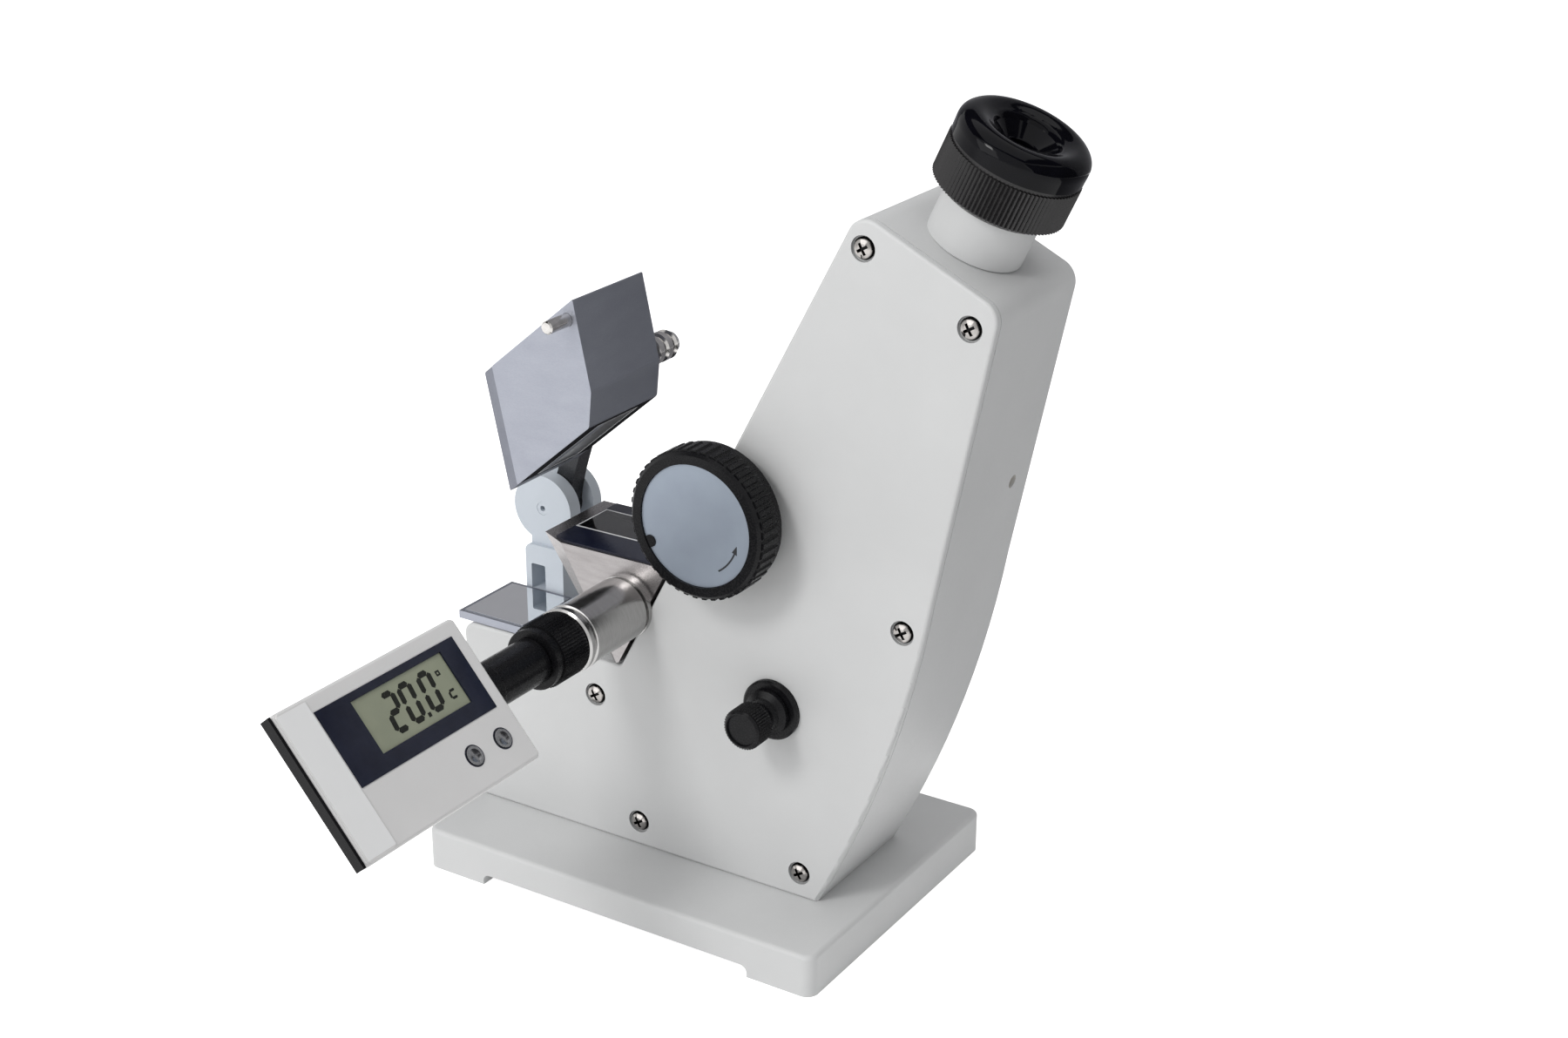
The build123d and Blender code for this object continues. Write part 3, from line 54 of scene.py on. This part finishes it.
camera.matrix_world = Matrix((
    (camera_right.x, camera_up.x, look_back.x, stand_point.x),
    (camera_right.y, camera_up.y, look_back.y, stand_point.y),
    (camera_right.z, camera_up.z, look_back.z, stand_point.z),
    (0, 0, 0, 1),
))
camera_data.clip_start = 0.01


def soft_lamp(name, place, aim, width, height, watts, colour=(1, 1, 1)):
    lamp_data = bpy.data.lights.new(name, "AREA")
    lamp_data.shape = "RECTANGLE"
    lamp_data.size = width
    lamp_data.size_y = height
    lamp_data.energy = watts
    lamp_data.color = colour
    lamp = bpy.data.objects.new(name, lamp_data)
    bpy.context.scene.collection.objects.link(lamp)
    lamp.location = place
    lamp.rotation_mode = "QUATERNION"
    lamp.rotation_quaternion = (Vector(aim) - Vector(place)).to_track_quat("-Z", "Y")


body_middle = (0.0, 0.0, 0.10)
soft_lamp("key lamp", (-0.22, -0.92, 0.98), body_middle, 0.30, 0.30, 4.5, (1.0, 0.995, 0.985))
soft_lamp("broad lamp", (-0.60, -1.40, 0.68), body_middle, 1.20, 1.20, 7.5)
soft_lamp("top lamp", (0.15, 0.05, 1.25), body_middle, 1.20, 1.20, 5.4)
soft_lamp("fill lamp", (0.95, -0.35, 0.40), body_middle, 0.60, 0.60, 0.5, (0.98, 0.99, 1.0))


def white_behind(tree):
    """1 for a ray from the camera, mirrored, or sent on by glass, and 0 for a lighting ray."""
    path = tree.nodes.new("ShaderNodeLightPath")
    mirrored = tree.nodes.new("ShaderNodeMath")
    mirrored.operation = "MAXIMUM"
    tree.links.new(path.outputs["Is Camera Ray"], mirrored.inputs[0])
    tree.links.new(path.outputs["Is Glossy Ray"], mirrored.inputs[1])
    seen = tree.nodes.new("ShaderNodeMath")
    seen.operation = "MAXIMUM"
    tree.links.new(mirrored.outputs[0], seen.inputs[0])
    tree.links.new(path.outputs["Is Transmission Ray"], seen.inputs[1])
    return seen.outputs[0]


world = bpy.data.worlds.new("white studio")
bpy.context.scene.world = world
world.use_nodes = True
air = world.node_tree
air.nodes.clear()
air_out = air.nodes.new("ShaderNodeOutputWorld")
air_light = air.nodes.new("ShaderNodeBackground")
air_light.inputs["Color"].default_value = (1, 1, 1, 1)
air_range = air.nodes.new("ShaderNodeMapRange")
light_on_object, white_seen = 0.30, 1.0
air_range.inputs["To Min"].default_value = light_on_object
air_range.inputs["To Max"].default_value = white_seen
air.links.new(white_behind(air), air_range.inputs["Value"])
air.links.new(air_range.outputs[0], air_light.inputs["Strength"])
air.links.new(air_light.outputs[0], air_out.inputs["Surface"])
bpy.context.scene.view_settings.view_transform = "Standard"

bench_mesh = bpy.data.meshes.new("white bench")
reach = 6   # half the bench's side, in metres
bench_mesh.from_pydata(
    [(-reach, -reach, 0), (reach, -reach, 0), (reach, reach, 0), (-reach, reach, 0)],
    [], [(0, 1, 2, 3)],
)
bench = bpy.data.objects.new("white bench", bench_mesh)
bpy.context.scene.collection.objects.link(bench)
paper = bpy.data.materials.new("white paper")
paper.use_nodes = True
sheet = paper.node_tree
sheet.nodes.clear()
paper_out = sheet.nodes.new("ShaderNodeOutputMaterial")
paper_dull = sheet.nodes.new("ShaderNodeBsdfDiffuse")
paper_dull.inputs["Color"].default_value = (0.93, 0.93, 0.93, 1)
paper_glow = sheet.nodes.new("ShaderNodeEmission")
paper_lift = sheet.nodes.new("ShaderNodeMapRange")
paper_lift.inputs["To Max"].default_value = 0.80
sheet.links.new(white_behind(sheet), paper_lift.inputs["Value"])
sheet.links.new(paper_lift.outputs[0], paper_glow.inputs["Strength"])
paper_sum = sheet.nodes.new("ShaderNodeAddShader")
sheet.links.new(paper_dull.outputs[0], paper_sum.inputs[0])
sheet.links.new(paper_glow.outputs[0], paper_sum.inputs[1])
sheet.links.new(paper_sum.outputs[0], paper_out.inputs["Surface"])
bench_mesh.materials.append(paper)

# Grey cards round the object, as product studios hang them to give polished metal its dark
# lines. Only mirrored rays meet them.


def grey_card(name, corners, tone):
    card_mesh = bpy.data.meshes.new(name)
    card_mesh.from_pydata(corners, [], [(0, 1, 2, 3)])
    card = bpy.data.objects.new(name, card_mesh)
    bpy.context.scene.collection.objects.link(card)
    felt = bpy.data.materials.new(name)
    felt.use_nodes = True
    felt_shader = felt.node_tree.nodes["Principled BSDF"]
    felt_shader.inputs["Base Color"].default_value = (tone, tone, tone * 1.06, 1)
    felt_shader.inputs["Roughness"].default_value = 1.0
    felt_shader.inputs["Specular IOR Level"].default_value = 0.0
    card_mesh.materials.append(felt)
    card.visible_camera = False
    card.visible_diffuse = False
    card.visible_shadow = False
    card.visible_transmission = False


grey_card("card_behind", [(-1.3, 0.75, 0.02), (1.0, 0.75, 0.02),
                          (1.0, 0.75, 0.95), (-1.3, 0.75, 0.95)], 0.45)
grey_card("card_right", [(0.8, -0.5, 0.02), (0.8, 0.75, 0.02),
                         (0.8, 0.75, 0.8), (0.8, -0.5, 0.8)], 0.10)
grey_card("card_above", [(-1.6, -1.0, 1.6), (1.6, -1.0, 1.6),
                         (1.6, 1.6, 1.6), (-1.6, 1.6, 1.6)], 0.05)
grey_card("card_below", [(-0.2, 0.13, 0.002), (0.8, 0.13, 0.002),
                         (0.8, 0.75, 0.002), (-0.2, 0.75, 0.002)], 0.40)


# Base plate and its four cap screws: cast and milled plate, 134 by 98 mm, stove enamelled in the
# same light grey as the body. Only two strips under the short ends touch the bench. The screws
# come up through them from below into the shell.
def surface(name, light, dark, patch, rough, rough_range, grain, depth, metal=0.0,
            stretch=(1, 1, 1), specular=0.5, coat=0.0):
    """A finish whose colour wanders between two tones in patches, with a fine grain in its gloss
    and height. patch, grain and depth are sizes in metres."""
    made = bpy.data.materials.new(name)
    made.use_nodes = True
    tree = made.node_tree
    tree.nodes.clear()
    out = tree.nodes.new("ShaderNodeOutputMaterial")
    shader = tree.nodes.new("ShaderNodeBsdfPrincipled")
    tree.links.new(shader.outputs[0], out.inputs["Surface"])
    shader.inputs["Metallic"].default_value = metal
    shader.inputs["Specular IOR Level"].default_value = specular
    shader.inputs["Coat Weight"].default_value = coat
    shader.inputs["Coat Roughness"].default_value = 0.12
    where = tree.nodes.new("ShaderNodeTexCoord")
    turned = tree.nodes.new("ShaderNodeMapping")
    turned.inputs["Scale"].default_value = stretch
    tree.links.new(where.outputs["Object"], turned.inputs["Vector"])
    cloud = tree.nodes.new("ShaderNodeTexNoise")
    cloud.inputs["Scale"].default_value = 1.0 / patch
    cloud.inputs["Detail"].default_value = 4.0
    tree.links.new(turned.outputs[0], cloud.inputs["Vector"])
    tones = tree.nodes.new("ShaderNodeValToRGB")
    tones.color_ramp.elements[0].position = 0.3
    tones.color_ramp.elements[1].position = 0.7
    tones.color_ramp.elements[0].color = (*dark, 1)
    tones.color_ramp.elements[1].color = (*light, 1)
    tree.links.new(cloud.outputs["Fac"], tones.inputs["Fac"])
    tree.links.new(tones.outputs["Color"], shader.inputs["Base Color"])
    speck = tree.nodes.new("ShaderNodeTexNoise")
    speck.inputs["Scale"].default_value = 1.0 / grain
    speck.inputs["Detail"].default_value = 3.0
    tree.links.new(turned.outputs[0], speck.inputs["Vector"])
    gloss = tree.nodes.new("ShaderNodeMapRange")
    gloss.inputs["From Min"].default_value = 0.25
    gloss.inputs["From Max"].default_value = 0.75
    gloss.inputs["To Min"].default_value = rough - rough_range
    gloss.inputs["To Max"].default_value = rough + rough_range
    tree.links.new(speck.outputs["Fac"], gloss.inputs["Value"])
    tree.links.new(gloss.outputs[0], shader.inputs["Roughness"])
    relief = tree.nodes.new("ShaderNodeBump")
    relief.inputs["Strength"].default_value = 1.0
    relief.inputs["Distance"].default_value = depth
    tree.links.new(speck.outputs["Fac"], relief.inputs["Height"])
    tree.links.new(relief.outputs[0], shader.inputs["Normal"])
    return made


def dress(made, *names):
    for name in names:
        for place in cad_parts[name].material_slots:
            place.material = made


enamel = surface("light grey enamel", (0.662, 0.668, 0.670), (0.630, 0.636, 0.638), 0.03,
                 0.46, 0.08, 0.0009, 0.00002)
dress(enamel, "base_plate")
black_oxide = surface("black oxide", (0.03, 0.03, 0.032), (0.015, 0.015, 0.016), 0.002,
                      0.38, 0.1, 0.0004, 0.00001, metal=1.0)
dress(black_oxide, "base_screws")

# Body: a cast shell, open at the front, closed by a 2.5 mm cover plate with six pan head screws.
# Both are enamelled together. A small brass screw for the zero sits deep in the user side.
dress(enamel, "shell_casting", "cover_plate")
bright_nickel = surface("bright nickel", (0.56, 0.545, 0.53), (0.42, 0.41, 0.40), 0.003,
                        0.17, 0.05, 0.0006, 0.000004, metal=1.0)
screw_steel = surface("polished screw steel", (0.42, 0.40, 0.385), (0.30, 0.285, 0.275), 0.0015,
                      0.12, 0.04, 0.0004, 0.000004, metal=1.0)


def darken_with_depth(made, face, floor, painted_shade):
    """Painted shade: the colour darkens towards near black between two depths in y, in a steel
    head's recess and round its skirt.
    """
    tree = made.node_tree
    shader = next(n for n in tree.nodes if n.type == "BSDF_PRINCIPLED")
    steel = shader.inputs["Base Color"].links[0].from_socket
    where = next(n for n in tree.nodes if n.type == "TEX_COORD")
    split = tree.nodes.new("ShaderNodeSeparateXYZ")
    tree.links.new(where.outputs["Object"], split.inputs[0])
    depth = tree.nodes.new("ShaderNodeMapRange")
    depth.inputs["From Min"].default_value = face
    depth.inputs["From Max"].default_value = floor
    tree.links.new(split.outputs["Y"], depth.inputs["Value"])
    mixed = tree.nodes.new("ShaderNodeMix")
    mixed.data_type = "RGBA"
    first_colour, second_colour, mixed_colour = mixed.inputs[6], mixed.inputs[7], mixed.outputs[2]
    tree.links.new(depth.outputs[0], mixed.inputs["Factor"])
    tree.links.new(steel, first_colour)
    second_colour.default_value = (*painted_shade, 1)
    tree.links.new(mixed_colour, shader.inputs["Base Color"])


# Painted shade on the cover screws: from just above the cover's face inwards their heads turn near
# black, in the recesses and round the skirts.
cover_face = corner.y + 0.0258
painted_shade_starts = cover_face - 0.00025
painted_shade_full = cover_face + 0.00020
darken_with_depth(screw_steel, painted_shade_starts, painted_shade_full, (0.008, 0.008, 0.008))
dress(screw_steel, "cover_screws")
turned_brass = surface("turned brass", (0.62, 0.45, 0.20), (0.45, 0.31, 0.13), 0.003,
                       0.28, 0.08, 0.0003, 0.000006, metal=1.0)
dress(turned_brass, "adjusting_screw")

# Telescope: an enamelled collar on the body, a blackened inner tube with the objective and a
# plain glass disc, and a sliding tube with two lenses. The ring and eye cup are black plastic.
dress(enamel, "eyepiece_collar")
tube_black = surface("blackened tube", (0.02, 0.02, 0.021), (0.01, 0.01, 0.011), 0.004,
                     0.55, 0.08, 0.0004, 0.00001, metal=0.6)
dress(tube_black, "telescope_tube", "lens_tube")


def polished_glass(name, tint, rough, ior, smear):
    made = bpy.data.materials.new(name)
    made.use_nodes = True
    tree = made.node_tree
    shader = tree.nodes["Principled BSDF"]
    shader.inputs["Transmission Weight"].default_value = 1.0
    shader.inputs["IOR"].default_value = ior
    where = tree.nodes.new("ShaderNodeTexCoord")
    film = tree.nodes.new("ShaderNodeTexNoise")
    film.inputs["Scale"].default_value = 1.0 / smear
    film.inputs["Detail"].default_value = 3.0
    tree.links.new(where.outputs["Object"], film.inputs["Vector"])
    tones = tree.nodes.new("ShaderNodeValToRGB")
    tones.color_ramp.elements[0].position = 0.35
    tones.color_ramp.elements[1].position = 0.65
    tones.color_ramp.elements[0].color = (*tint, 1)
    tones.color_ramp.elements[1].color = (*[min(1.0, 1.04 * c) for c in tint], 1)
    tree.links.new(film.outputs["Fac"], tones.inputs["Fac"])
    tree.links.new(tones.outputs["Color"], shader.inputs["Base Color"])
    dust = tree.nodes.new("ShaderNodeMapRange")
    dust.inputs["To Min"].default_value = rough
    dust.inputs["To Max"].default_value = rough + 0.05
    tree.links.new(film.outputs["Fac"], dust.inputs["Value"])
    tree.links.new(dust.outputs[0], shader.inputs["Roughness"])
    return made


clear_glass = polished_glass("clear optical glass", (0.93, 0.96, 0.95), 0.0, 1.52, 0.01)
dress(clear_glass, "objective_lens", "reticle_disc", "eyepiece_lenses")
ring_plastic = surface("black moulded plastic", (0.008, 0.008, 0.009), (0.005, 0.005, 0.006), 0.004,
                       0.27, 0.06, 0.0005, 0.000008, specular=0.14)
rib_plastic = surface("ribbed black plastic", (0.016, 0.015, 0.016), (0.010, 0.009, 0.010), 0.003,
                      0.30, 0.06, 0.0005, 0.000008, specular=0.34)
dress(rib_plastic, "diopter_ring")
gloss_black = surface("polished black plastic", (0.003, 0.003, 0.005), (0.002, 0.002, 0.003), 0.006,
                      0.08, 0.02, 0.0012, 0.000002, specular=0.12)
dress(gloss_black, "eye_cup")

# Dispersion compensator: two brass cells with cemented prisms turn opposite ways under one
# pinion. Its black hand wheel stands on the back, with a graduated satin ring in front of it.
dress(turned_brass, "lower_cell", "upper_cell")
dense_glass = polished_glass("dense optical glass", (0.90, 0.94, 0.90), 0.0, 1.62, 0.01)
dress(dense_glass, "lower_dispersion_prism", "upper_dispersion_prism")
satin_steel = surface("satin steel", (0.62, 0.61, 0.60), (0.50, 0.49, 0.485), 0.004,
                      0.33, 0.07, 0.0004, 0.000006, metal=1.0)
dress(satin_steel, "dispersion_shaft", "inner_bearings", "dispersion_scale")
dress(ring_plastic, "dispersion_knob")


def from_corner(x, y, z):
    """A place given in mm from the base plate's left front lower corner, in the frame's metres."""
    return corner + Vector((x, y, z)) / 1000


def printed(name, shapes, middle, right, up, made, body, ink=0.00004,
            rise=lambda x, y: 0.0):
    """A print of outlines, in mm on a plane through middle, raised by the thickness of its ink.
    rise gives the height of the printed surface over that plane, in mm."""
    right = Vector(right).normalized()
    up = Vector(up).normalized()
    out = right.cross(up)
    form = bmesh.new()
    for shape in shapes:
        low = [form.verts.new(middle + (right * x + up * y + out * rise(x, y)) / 1000)
               for x, y in shape]
        high = [form.verts.new(v.co + out * ink) for v in low]
        form.faces.new(high)
        form.faces.new(low[::-1])
        for i in range(len(low)):
            j = (i + 1) % len(low)
            form.faces.new((low[i], low[j], high[j], high[i]))
    bmesh.ops.recalc_face_normals(form, faces=form.faces)
    mesh = bpy.data.meshes.new(name)
    form.to_mesh(mesh)
    form.free()
    mesh.materials.append(made)
    piece = bpy.data.objects.new(name, mesh)
    bpy.context.scene.collection.objects.link(piece)
    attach(piece, body)


black_ink = surface("black printing ink", (0.015, 0.016, 0.02), (0.01, 0.011, 0.014), 0.002,
                    0.4, 0.08, 0.0003, 0.000002)


def tick(angle, inner, outer, width):
    """A radial line of a round scale, clockwise from the top, as four corners."""
    a = math.radians(90 - angle)
    along = Vector((math.cos(a), math.sin(a)))
    side = Vector((-along.y, along.x)) * width / 2
    return [along * inner - side, along * outer - side, along * outer + side, along * inner + side]


ring_middle = from_corner(109.449, 75.0, 114.366)
ring_edge = 19.0                          # the ring's outer radius, in mm
bevel_height, bevel_width = 2.8, 2.6      # its divisions are on a bevel
ring_ticks = []
for step in range(60):
    inner, width = (17.4, 0.22) if step % 5 else (16.8, 0.32)
    ring_ticks.append(tick(step * 6, inner, 18.7, width))
printed("dispersion_divisions", ring_ticks, ring_middle, (-1, 0, 0), (0, 0, 1), black_ink,
        "dispersion_control",
        rise=lambda x, y: (ring_edge - math.hypot(x, y)) * bevel_height / bevel_width)

# Index control: black waisted knob in a flanged bush, geared down twice to the shaft of the
# swinging mirror, which also carries the curved glass scale past a lit window in the back.
dress(ring_plastic, "index_bush", "index_knob")
dress(satin_steel, "index_shaft", "mirror_shaft")
dress(turned_brass, "idler_gear", "sector_gear")
silvered = surface("silvered glass", (0.86, 0.87, 0.88), (0.83, 0.84, 0.85), 0.01,
                   0.03, 0.01, 0.004, 0.0000005, metal=1.0)
dress(silvered, "swing_mirror")
dress(clear_glass, "glass_scale", "scale_condenser")
scale_middle, scale_step = 60, 0.5        # degrees from the top
scale_ticks = []
for step in range(-30, 31):
    inner = 43.2 if step % 5 else 41.5
    scale_ticks.append(tick(scale_middle + step * scale_step, inner, 45.5, 0.12))
printed("index_divisions", scale_ticks, from_corner(79.864, 61.79, 50.044), (1, 0, 0), (0, 0, 1),
        black_ink, "mirror_carriage", ink=0.00002)

# Measuring prism: a milled metal seat with a satin plated face, the polished prism cemented in
# it, and a thin dark frame that seals the glass. Water passes through two connectors behind.
seat_metal = surface("satin seat plate", (0.33, 0.315, 0.315), (0.27, 0.255, 0.255), 0.008,
                     0.28, 0.06, 0.0005, 0.000006, metal=1.0, stretch=(1, 1, 6))
dress(seat_metal, "prism_seat")
prism_glass = polished_glass("flint glass of the measuring prism", (0.06, 0.08, 0.15),
                             0.02, 1.7, 0.01)
dress(prism_glass, "refracting_prism")
frame_black = surface("dark frame lacquer", (0.010, 0.013, 0.030), (0.006, 0.008, 0.021), 0.006,
                      0.16, 0.05, 0.0006, 0.000005, specular=0.3)
dress(frame_black, "prism_frame")
sealing_white = surface("white sealing compound", (0.80, 0.81, 0.82), (0.68, 0.69, 0.71), 0.003,
                        0.35, 0.08, 0.0005, 0.00001)


def rim_strips(x0, x1, y0, y1, width):
    """The four sides of a rectangular line, each as four corners."""
    w = width / 2
    return [
        [(x0 - w, y0 - w), (x1 + w, y0 - w), (x1 + w, y0 + w), (x0 - w, y0 + w)],
        [(x0 - w, y1 - w), (x1 + w, y1 - w), (x1 + w, y1 + w), (x0 - w, y1 + w)],
        [(x0 - w, y0 + w), (x0 + w, y0 + w), (x0 + w, y1 - w), (x0 - w, y1 - w)],
        [(x1 - w, y0 + w), (x1 + w, y0 + w), (x1 + w, y1 - w), (x1 - w, y1 - w)],
    ]


printed("prism_sealing_line", rim_strips(-17.7, 17.7, -7.25, 7.25, 0.5),
        from_corner(48.5, 44.75, 103.56), (1, 0, 0), (0, 1, 0), sealing_white, "stand",
        ink=0.00008)
dress(bright_nickel, "lower_hoses")
tube_nickel = surface("satin nickel tube", (0.44, 0.435, 0.43), (0.37, 0.365, 0.36), 0.003,
                      0.2, 0.05, 0.0004, 0.000004, metal=1.0, stretch=(1, 8, 1))
dress(tube_nickel, "thermometer_seat")

# Hinge: a post with two round ears and a pin, all in pale grey enamel, and a black arm that
# carries the upper prism unit behind its housing.
post_enamel = surface("pale grey enamel", (0.62, 0.67, 0.73), (0.585, 0.635, 0.695), 0.02,
                      0.38, 0.07, 0.0007, 0.00001)
dress(post_enamel, "hinge_post", "hinge_pin")
dress(bright_nickel, "lock_pin", "upper_hoses", "flap_fittings")
arm_black = surface("blackened arm", (0.03, 0.032, 0.036), (0.016, 0.017, 0.02), 0.004,
                    0.3, 0.08, 0.0005, 0.00001, metal=0.5)
dress(arm_black, "hinge_arm")

# Upper prism unit: a satin plated housing round the upper prism, whose left side is the light
# window with a ground glass pane. Its mating face is ground.
lid_metal = surface("satin lid plate", (0.33, 0.343, 0.387), (0.305, 0.318, 0.362), 0.012,
                    0.55, 0.06, 0.0006, 0.000004, metal=1.0, stretch=(1, 1, 3))
dress(lid_metal, "prism_housing", "reflector_frame", "shade_plate")
window_grey = surface("grey window plate", (0.20, 0.208, 0.238), (0.17, 0.178, 0.208), 0.01,
                      0.48, 0.06, 0.0006, 0.000005, metal=0.9)
dress(window_grey, "window_plate")
ground_glass = polished_glass("ground glass", (0.90, 0.92, 0.93), 0.45, 1.5, 0.002)
dress(ground_glass, "frosted_window", "incident_prism")
dress(silvered, "reflector_mirror")
lid_turn = math.radians(40.7)             # how far the unit stands open
pin_x, pin_z = 5.4, 97.7                  # the hinge pin's axis, in mm from the corner
lid_along = (math.cos(lid_turn), 0, math.sin(lid_turn))


def on_lid(x, y, z):
    """A place on the closed upper prism unit, in mm, carried to where it stands open."""
    dx, dz = x - pin_x, z - pin_z
    return from_corner(pin_x + dx * math.cos(lid_turn) - dz * math.sin(lid_turn), y,
                       pin_z + dx * math.sin(lid_turn) + dz * math.cos(lid_turn))


def filled(x0, x1, y0, y1):
    """A rectangle as four corners."""
    return [(x0, y0), (x1, y0), (x1, y1), (x0, y1)]


seal_rubber = surface("black rubber seal", (0.010, 0.010, 0.012), (0.006, 0.006, 0.008), 0.003,
                      0.8, 0.08, 0.0004, 0.00001, specular=0.05)
mating_middle = on_lid(45.4, 42.25, 103.9)
printed("upper_prism_frame", [filled(-15.6, 16.8, 9.6, 16.0), filled(-15.6, 16.8, -16.0, -9.6),
                              filled(14.6, 16.8, -9.6, 9.6), filled(-15.6, -14.0, -9.6, 9.6)],
        mating_middle, lid_along, (0, -1, 0), seal_rubber, "upper_prism_unit", ink=0.0001)
printed("upper_sealing_line", rim_strips(-14.2, 14.4, -9.4, 9.4, 0.5), mating_middle,
        lid_along, (0, -1, 0), sealing_white, "upper_prism_unit", ink=0.00013)

# Lock knob: a black moulded cup with 45 ribs over a cam, with a satin blue grey disc let into
# its face. A small curved arrow is printed on the disc.
dress(ring_plastic, "lock_knob")
disc_paint = surface("blue grey anodised disc", (0.30, 0.345, 0.41), (0.275, 0.315, 0.38), 0.01,
                     0.36, 0.06, 0.0005, 0.000004, metal=0.35)
dress(disc_paint, "lock_disc")


def arrow_outline(radius, start, end, width, head):
    """A curved arrow in degrees from the right hand side, as one line strip and its head."""
    strips = []
    inner, outer = radius - width / 2, radius + width / 2
    count = 18
    for i in range(count):
        a = math.radians(start + (end - start) * i / count)
        b = math.radians(start + (end - start) * (i + 1) / count)
        strips.append([(r * math.cos(t), r * math.sin(t))
                       for r, t in ((inner, a), (outer, a), (outer, b), (inner, b))])
    reach = math.copysign(math.degrees(head / radius), end - start)
    foot, tip = math.radians(end), math.radians(end + reach)
    spread = head * 0.34
    strips.append([(r * math.cos(t), r * math.sin(t))
                   for r, t in ((radius - spread, foot), (radius + spread, foot), (radius, tip))])
    return strips


printed("turning_arrow", arrow_outline(13.4, -57, -23, 0.5, 2.5), from_corner(89.9, 11.09, 125.5),
        (1, 0, 0), (0, 0, 1), black_ink, "lock_control")

# Thermometer: a plastic case in two halves on a black stem, held by a knurled gland nut in the
# plated seat tube. The display has a dark window frame and two small plated buttons.
dress(ring_plastic, "thermometer_nut", "thermometer_stem", "case_end_cap")
case_white = surface("warm white case plastic", (0.72, 0.715, 0.715), (0.69, 0.685, 0.685), 0.02,
                     0.42, 0.06, 0.0006, 0.00001)
dress(case_white, "case_front", "case_back")
dress(frame_black, "display_bezel")
panel_green = surface("liquid crystal panel", (0.27, 0.29, 0.205), (0.235, 0.255, 0.18), 0.012,
                      0.2, 0.04, 0.0008, 0.000002, coat=0.4)
dress(panel_green, "display_glass")
case_across = Vector((0.65, 0, -0.76)).normalized()
case_out = Vector((0.76, 0, 0.65)).normalized()
stem_x, stem_z = 55.8, 88.7               # the stem's axis, in mm from the corner
case_end = -40.3                          # y of the case end that holds the stem
case_length = 67.5                        # in mm
case_offset = 1.4                         # the case's middle line is this far across from the axis


def on_case(x, y, lift):
    """A place on the case in mm: x down the face, y towards the stem, lift out from its axis."""
    stem = from_corner(stem_x, case_end - case_length / 2 + y, stem_z)
    return stem + case_across * (x + case_offset) / 1000 + case_out * lift / 1000


lit_bars = {"0": "abcdef", "2": "abged", "c": "ged"}


def segment_digit(sign, left, low, width, height, stroke):
    """The lit bars of one seven bar numeral, each as a six cornered outline with a slight slant."""
    slant = 0.12
    mid = height / 2
    gap = stroke * 0.12
    bars = {
        "a": ((0, height), (width, height)), "g": ((0, mid), (width, mid)),
        "d": ((0, 0), (width, 0)), "f": ((0, mid), (0, height)),
        "b": ((width, mid), (width, height)), "e": ((0, 0), (0, mid)),
        "c": ((width, 0), (width, mid)),
    }
    shapes = []
    for bar in lit_bars[sign]:
        (x0, y0), (x1, y1) = bars[bar]
        h = stroke / 2
        if y0 == y1:
            corners = [(x0 + gap, y0), (x0 + h, y0 + h), (x1 - h, y0 + h), (x1 - gap, y0),
                       (x1 - h, y0 - h), (x0 + h, y0 - h)]
        else:
            corners = [(x0, y0 + gap), (x0 + h, y0 + h), (x0 + h, y1 - h), (x0, y1 - gap),
                       (x0 - h, y1 - h), (x0 - h, y0 + h)]
        shapes.append([(left + x + y * slant, low + y) for x, y in corners])
    return shapes


digit_low, digit_width, digit_height, digit_stroke = -4.8, 3.8, 9.6, 1.6
point = [(2.4, -5.6), (3.5, -5.6), (3.6, -4.4), (2.5, -4.4)]
small_c = segment_digit("c", 12.3, -4.4, 2.1, 4.0, 0.7)
degree_mark = rim_strips(12.2, 13.2, 2.6, 3.6, 0.45)
reading = []
for sign, left in (("2", -8.7), ("0", -2.5), ("0", 4.9)):
    reading += segment_digit(sign, left, digit_low, digit_width, digit_height, digit_stroke)
reading += [point] + small_c + degree_mark
digit_dark = surface("dark liquid crystal", (0.016, 0.018, 0.014), (0.012, 0.013, 0.010), 0.004,
                     0.25, 0.05, 0.0006, 0.000002, specular=0.2)
printed("temperature_reading", reading, on_case(-7.4, 6.3, 7.4), (0, 1, 0), tuple(-case_across),
        digit_dark, "thermometer")
button_metal = surface("plated button", (0.33, 0.33, 0.34), (0.25, 0.25, 0.26), 0.001,
                       0.2, 0.05, 0.0003, 0.000003, metal=1.0)
dress(button_metal, "display_button_1", "display_button_2")


def ring_of_strips(x, y, inner, outer):
    """A flat ring round a place, as a chain of four cornered strips."""
    chain = []
    count = 32
    for i in range(count):
        a, b = (2 * math.pi * k / count for k in (i, i + 1))
        chain.append([(x + r * math.cos(t), y + r * math.sin(t)) for r, t in (
            (inner, a), (outer, a), (outer, b), (inner, b))])
    return chain


# Painted shade: a thin dark ring round each button stands in for the shadowed gap between button
# and case.
button_gap, ring_inner, ring_outer = 11.3, 2.72, 3.05
printed("button_gap_shade", ring_of_strips(0, 0, ring_inner, ring_outer)
        + ring_of_strips(button_gap, 0, ring_inner, ring_outer),
        on_case(12.3, 14.1, 7.7), (0, 1, 0), tuple(-case_across), frame_black, "thermometer")
# Painted light: a brighter white band printed across the case's far end stands in for the tilted
# end band, which catches more light than the face.
lit_band_white = surface("painted light on the end band", (0.86, 0.865, 0.87), (0.83, 0.835, 0.84), 0.02,
                      0.4, 0.06, 0.0006, 0.00001)
printed("lit_end_band", [filled(-4.9, 4.9, -20.2, 20.2)], on_case(0, -27.55, 8.0), (0, 1, 0),
        tuple(-case_across), lit_band_white, "thermometer")
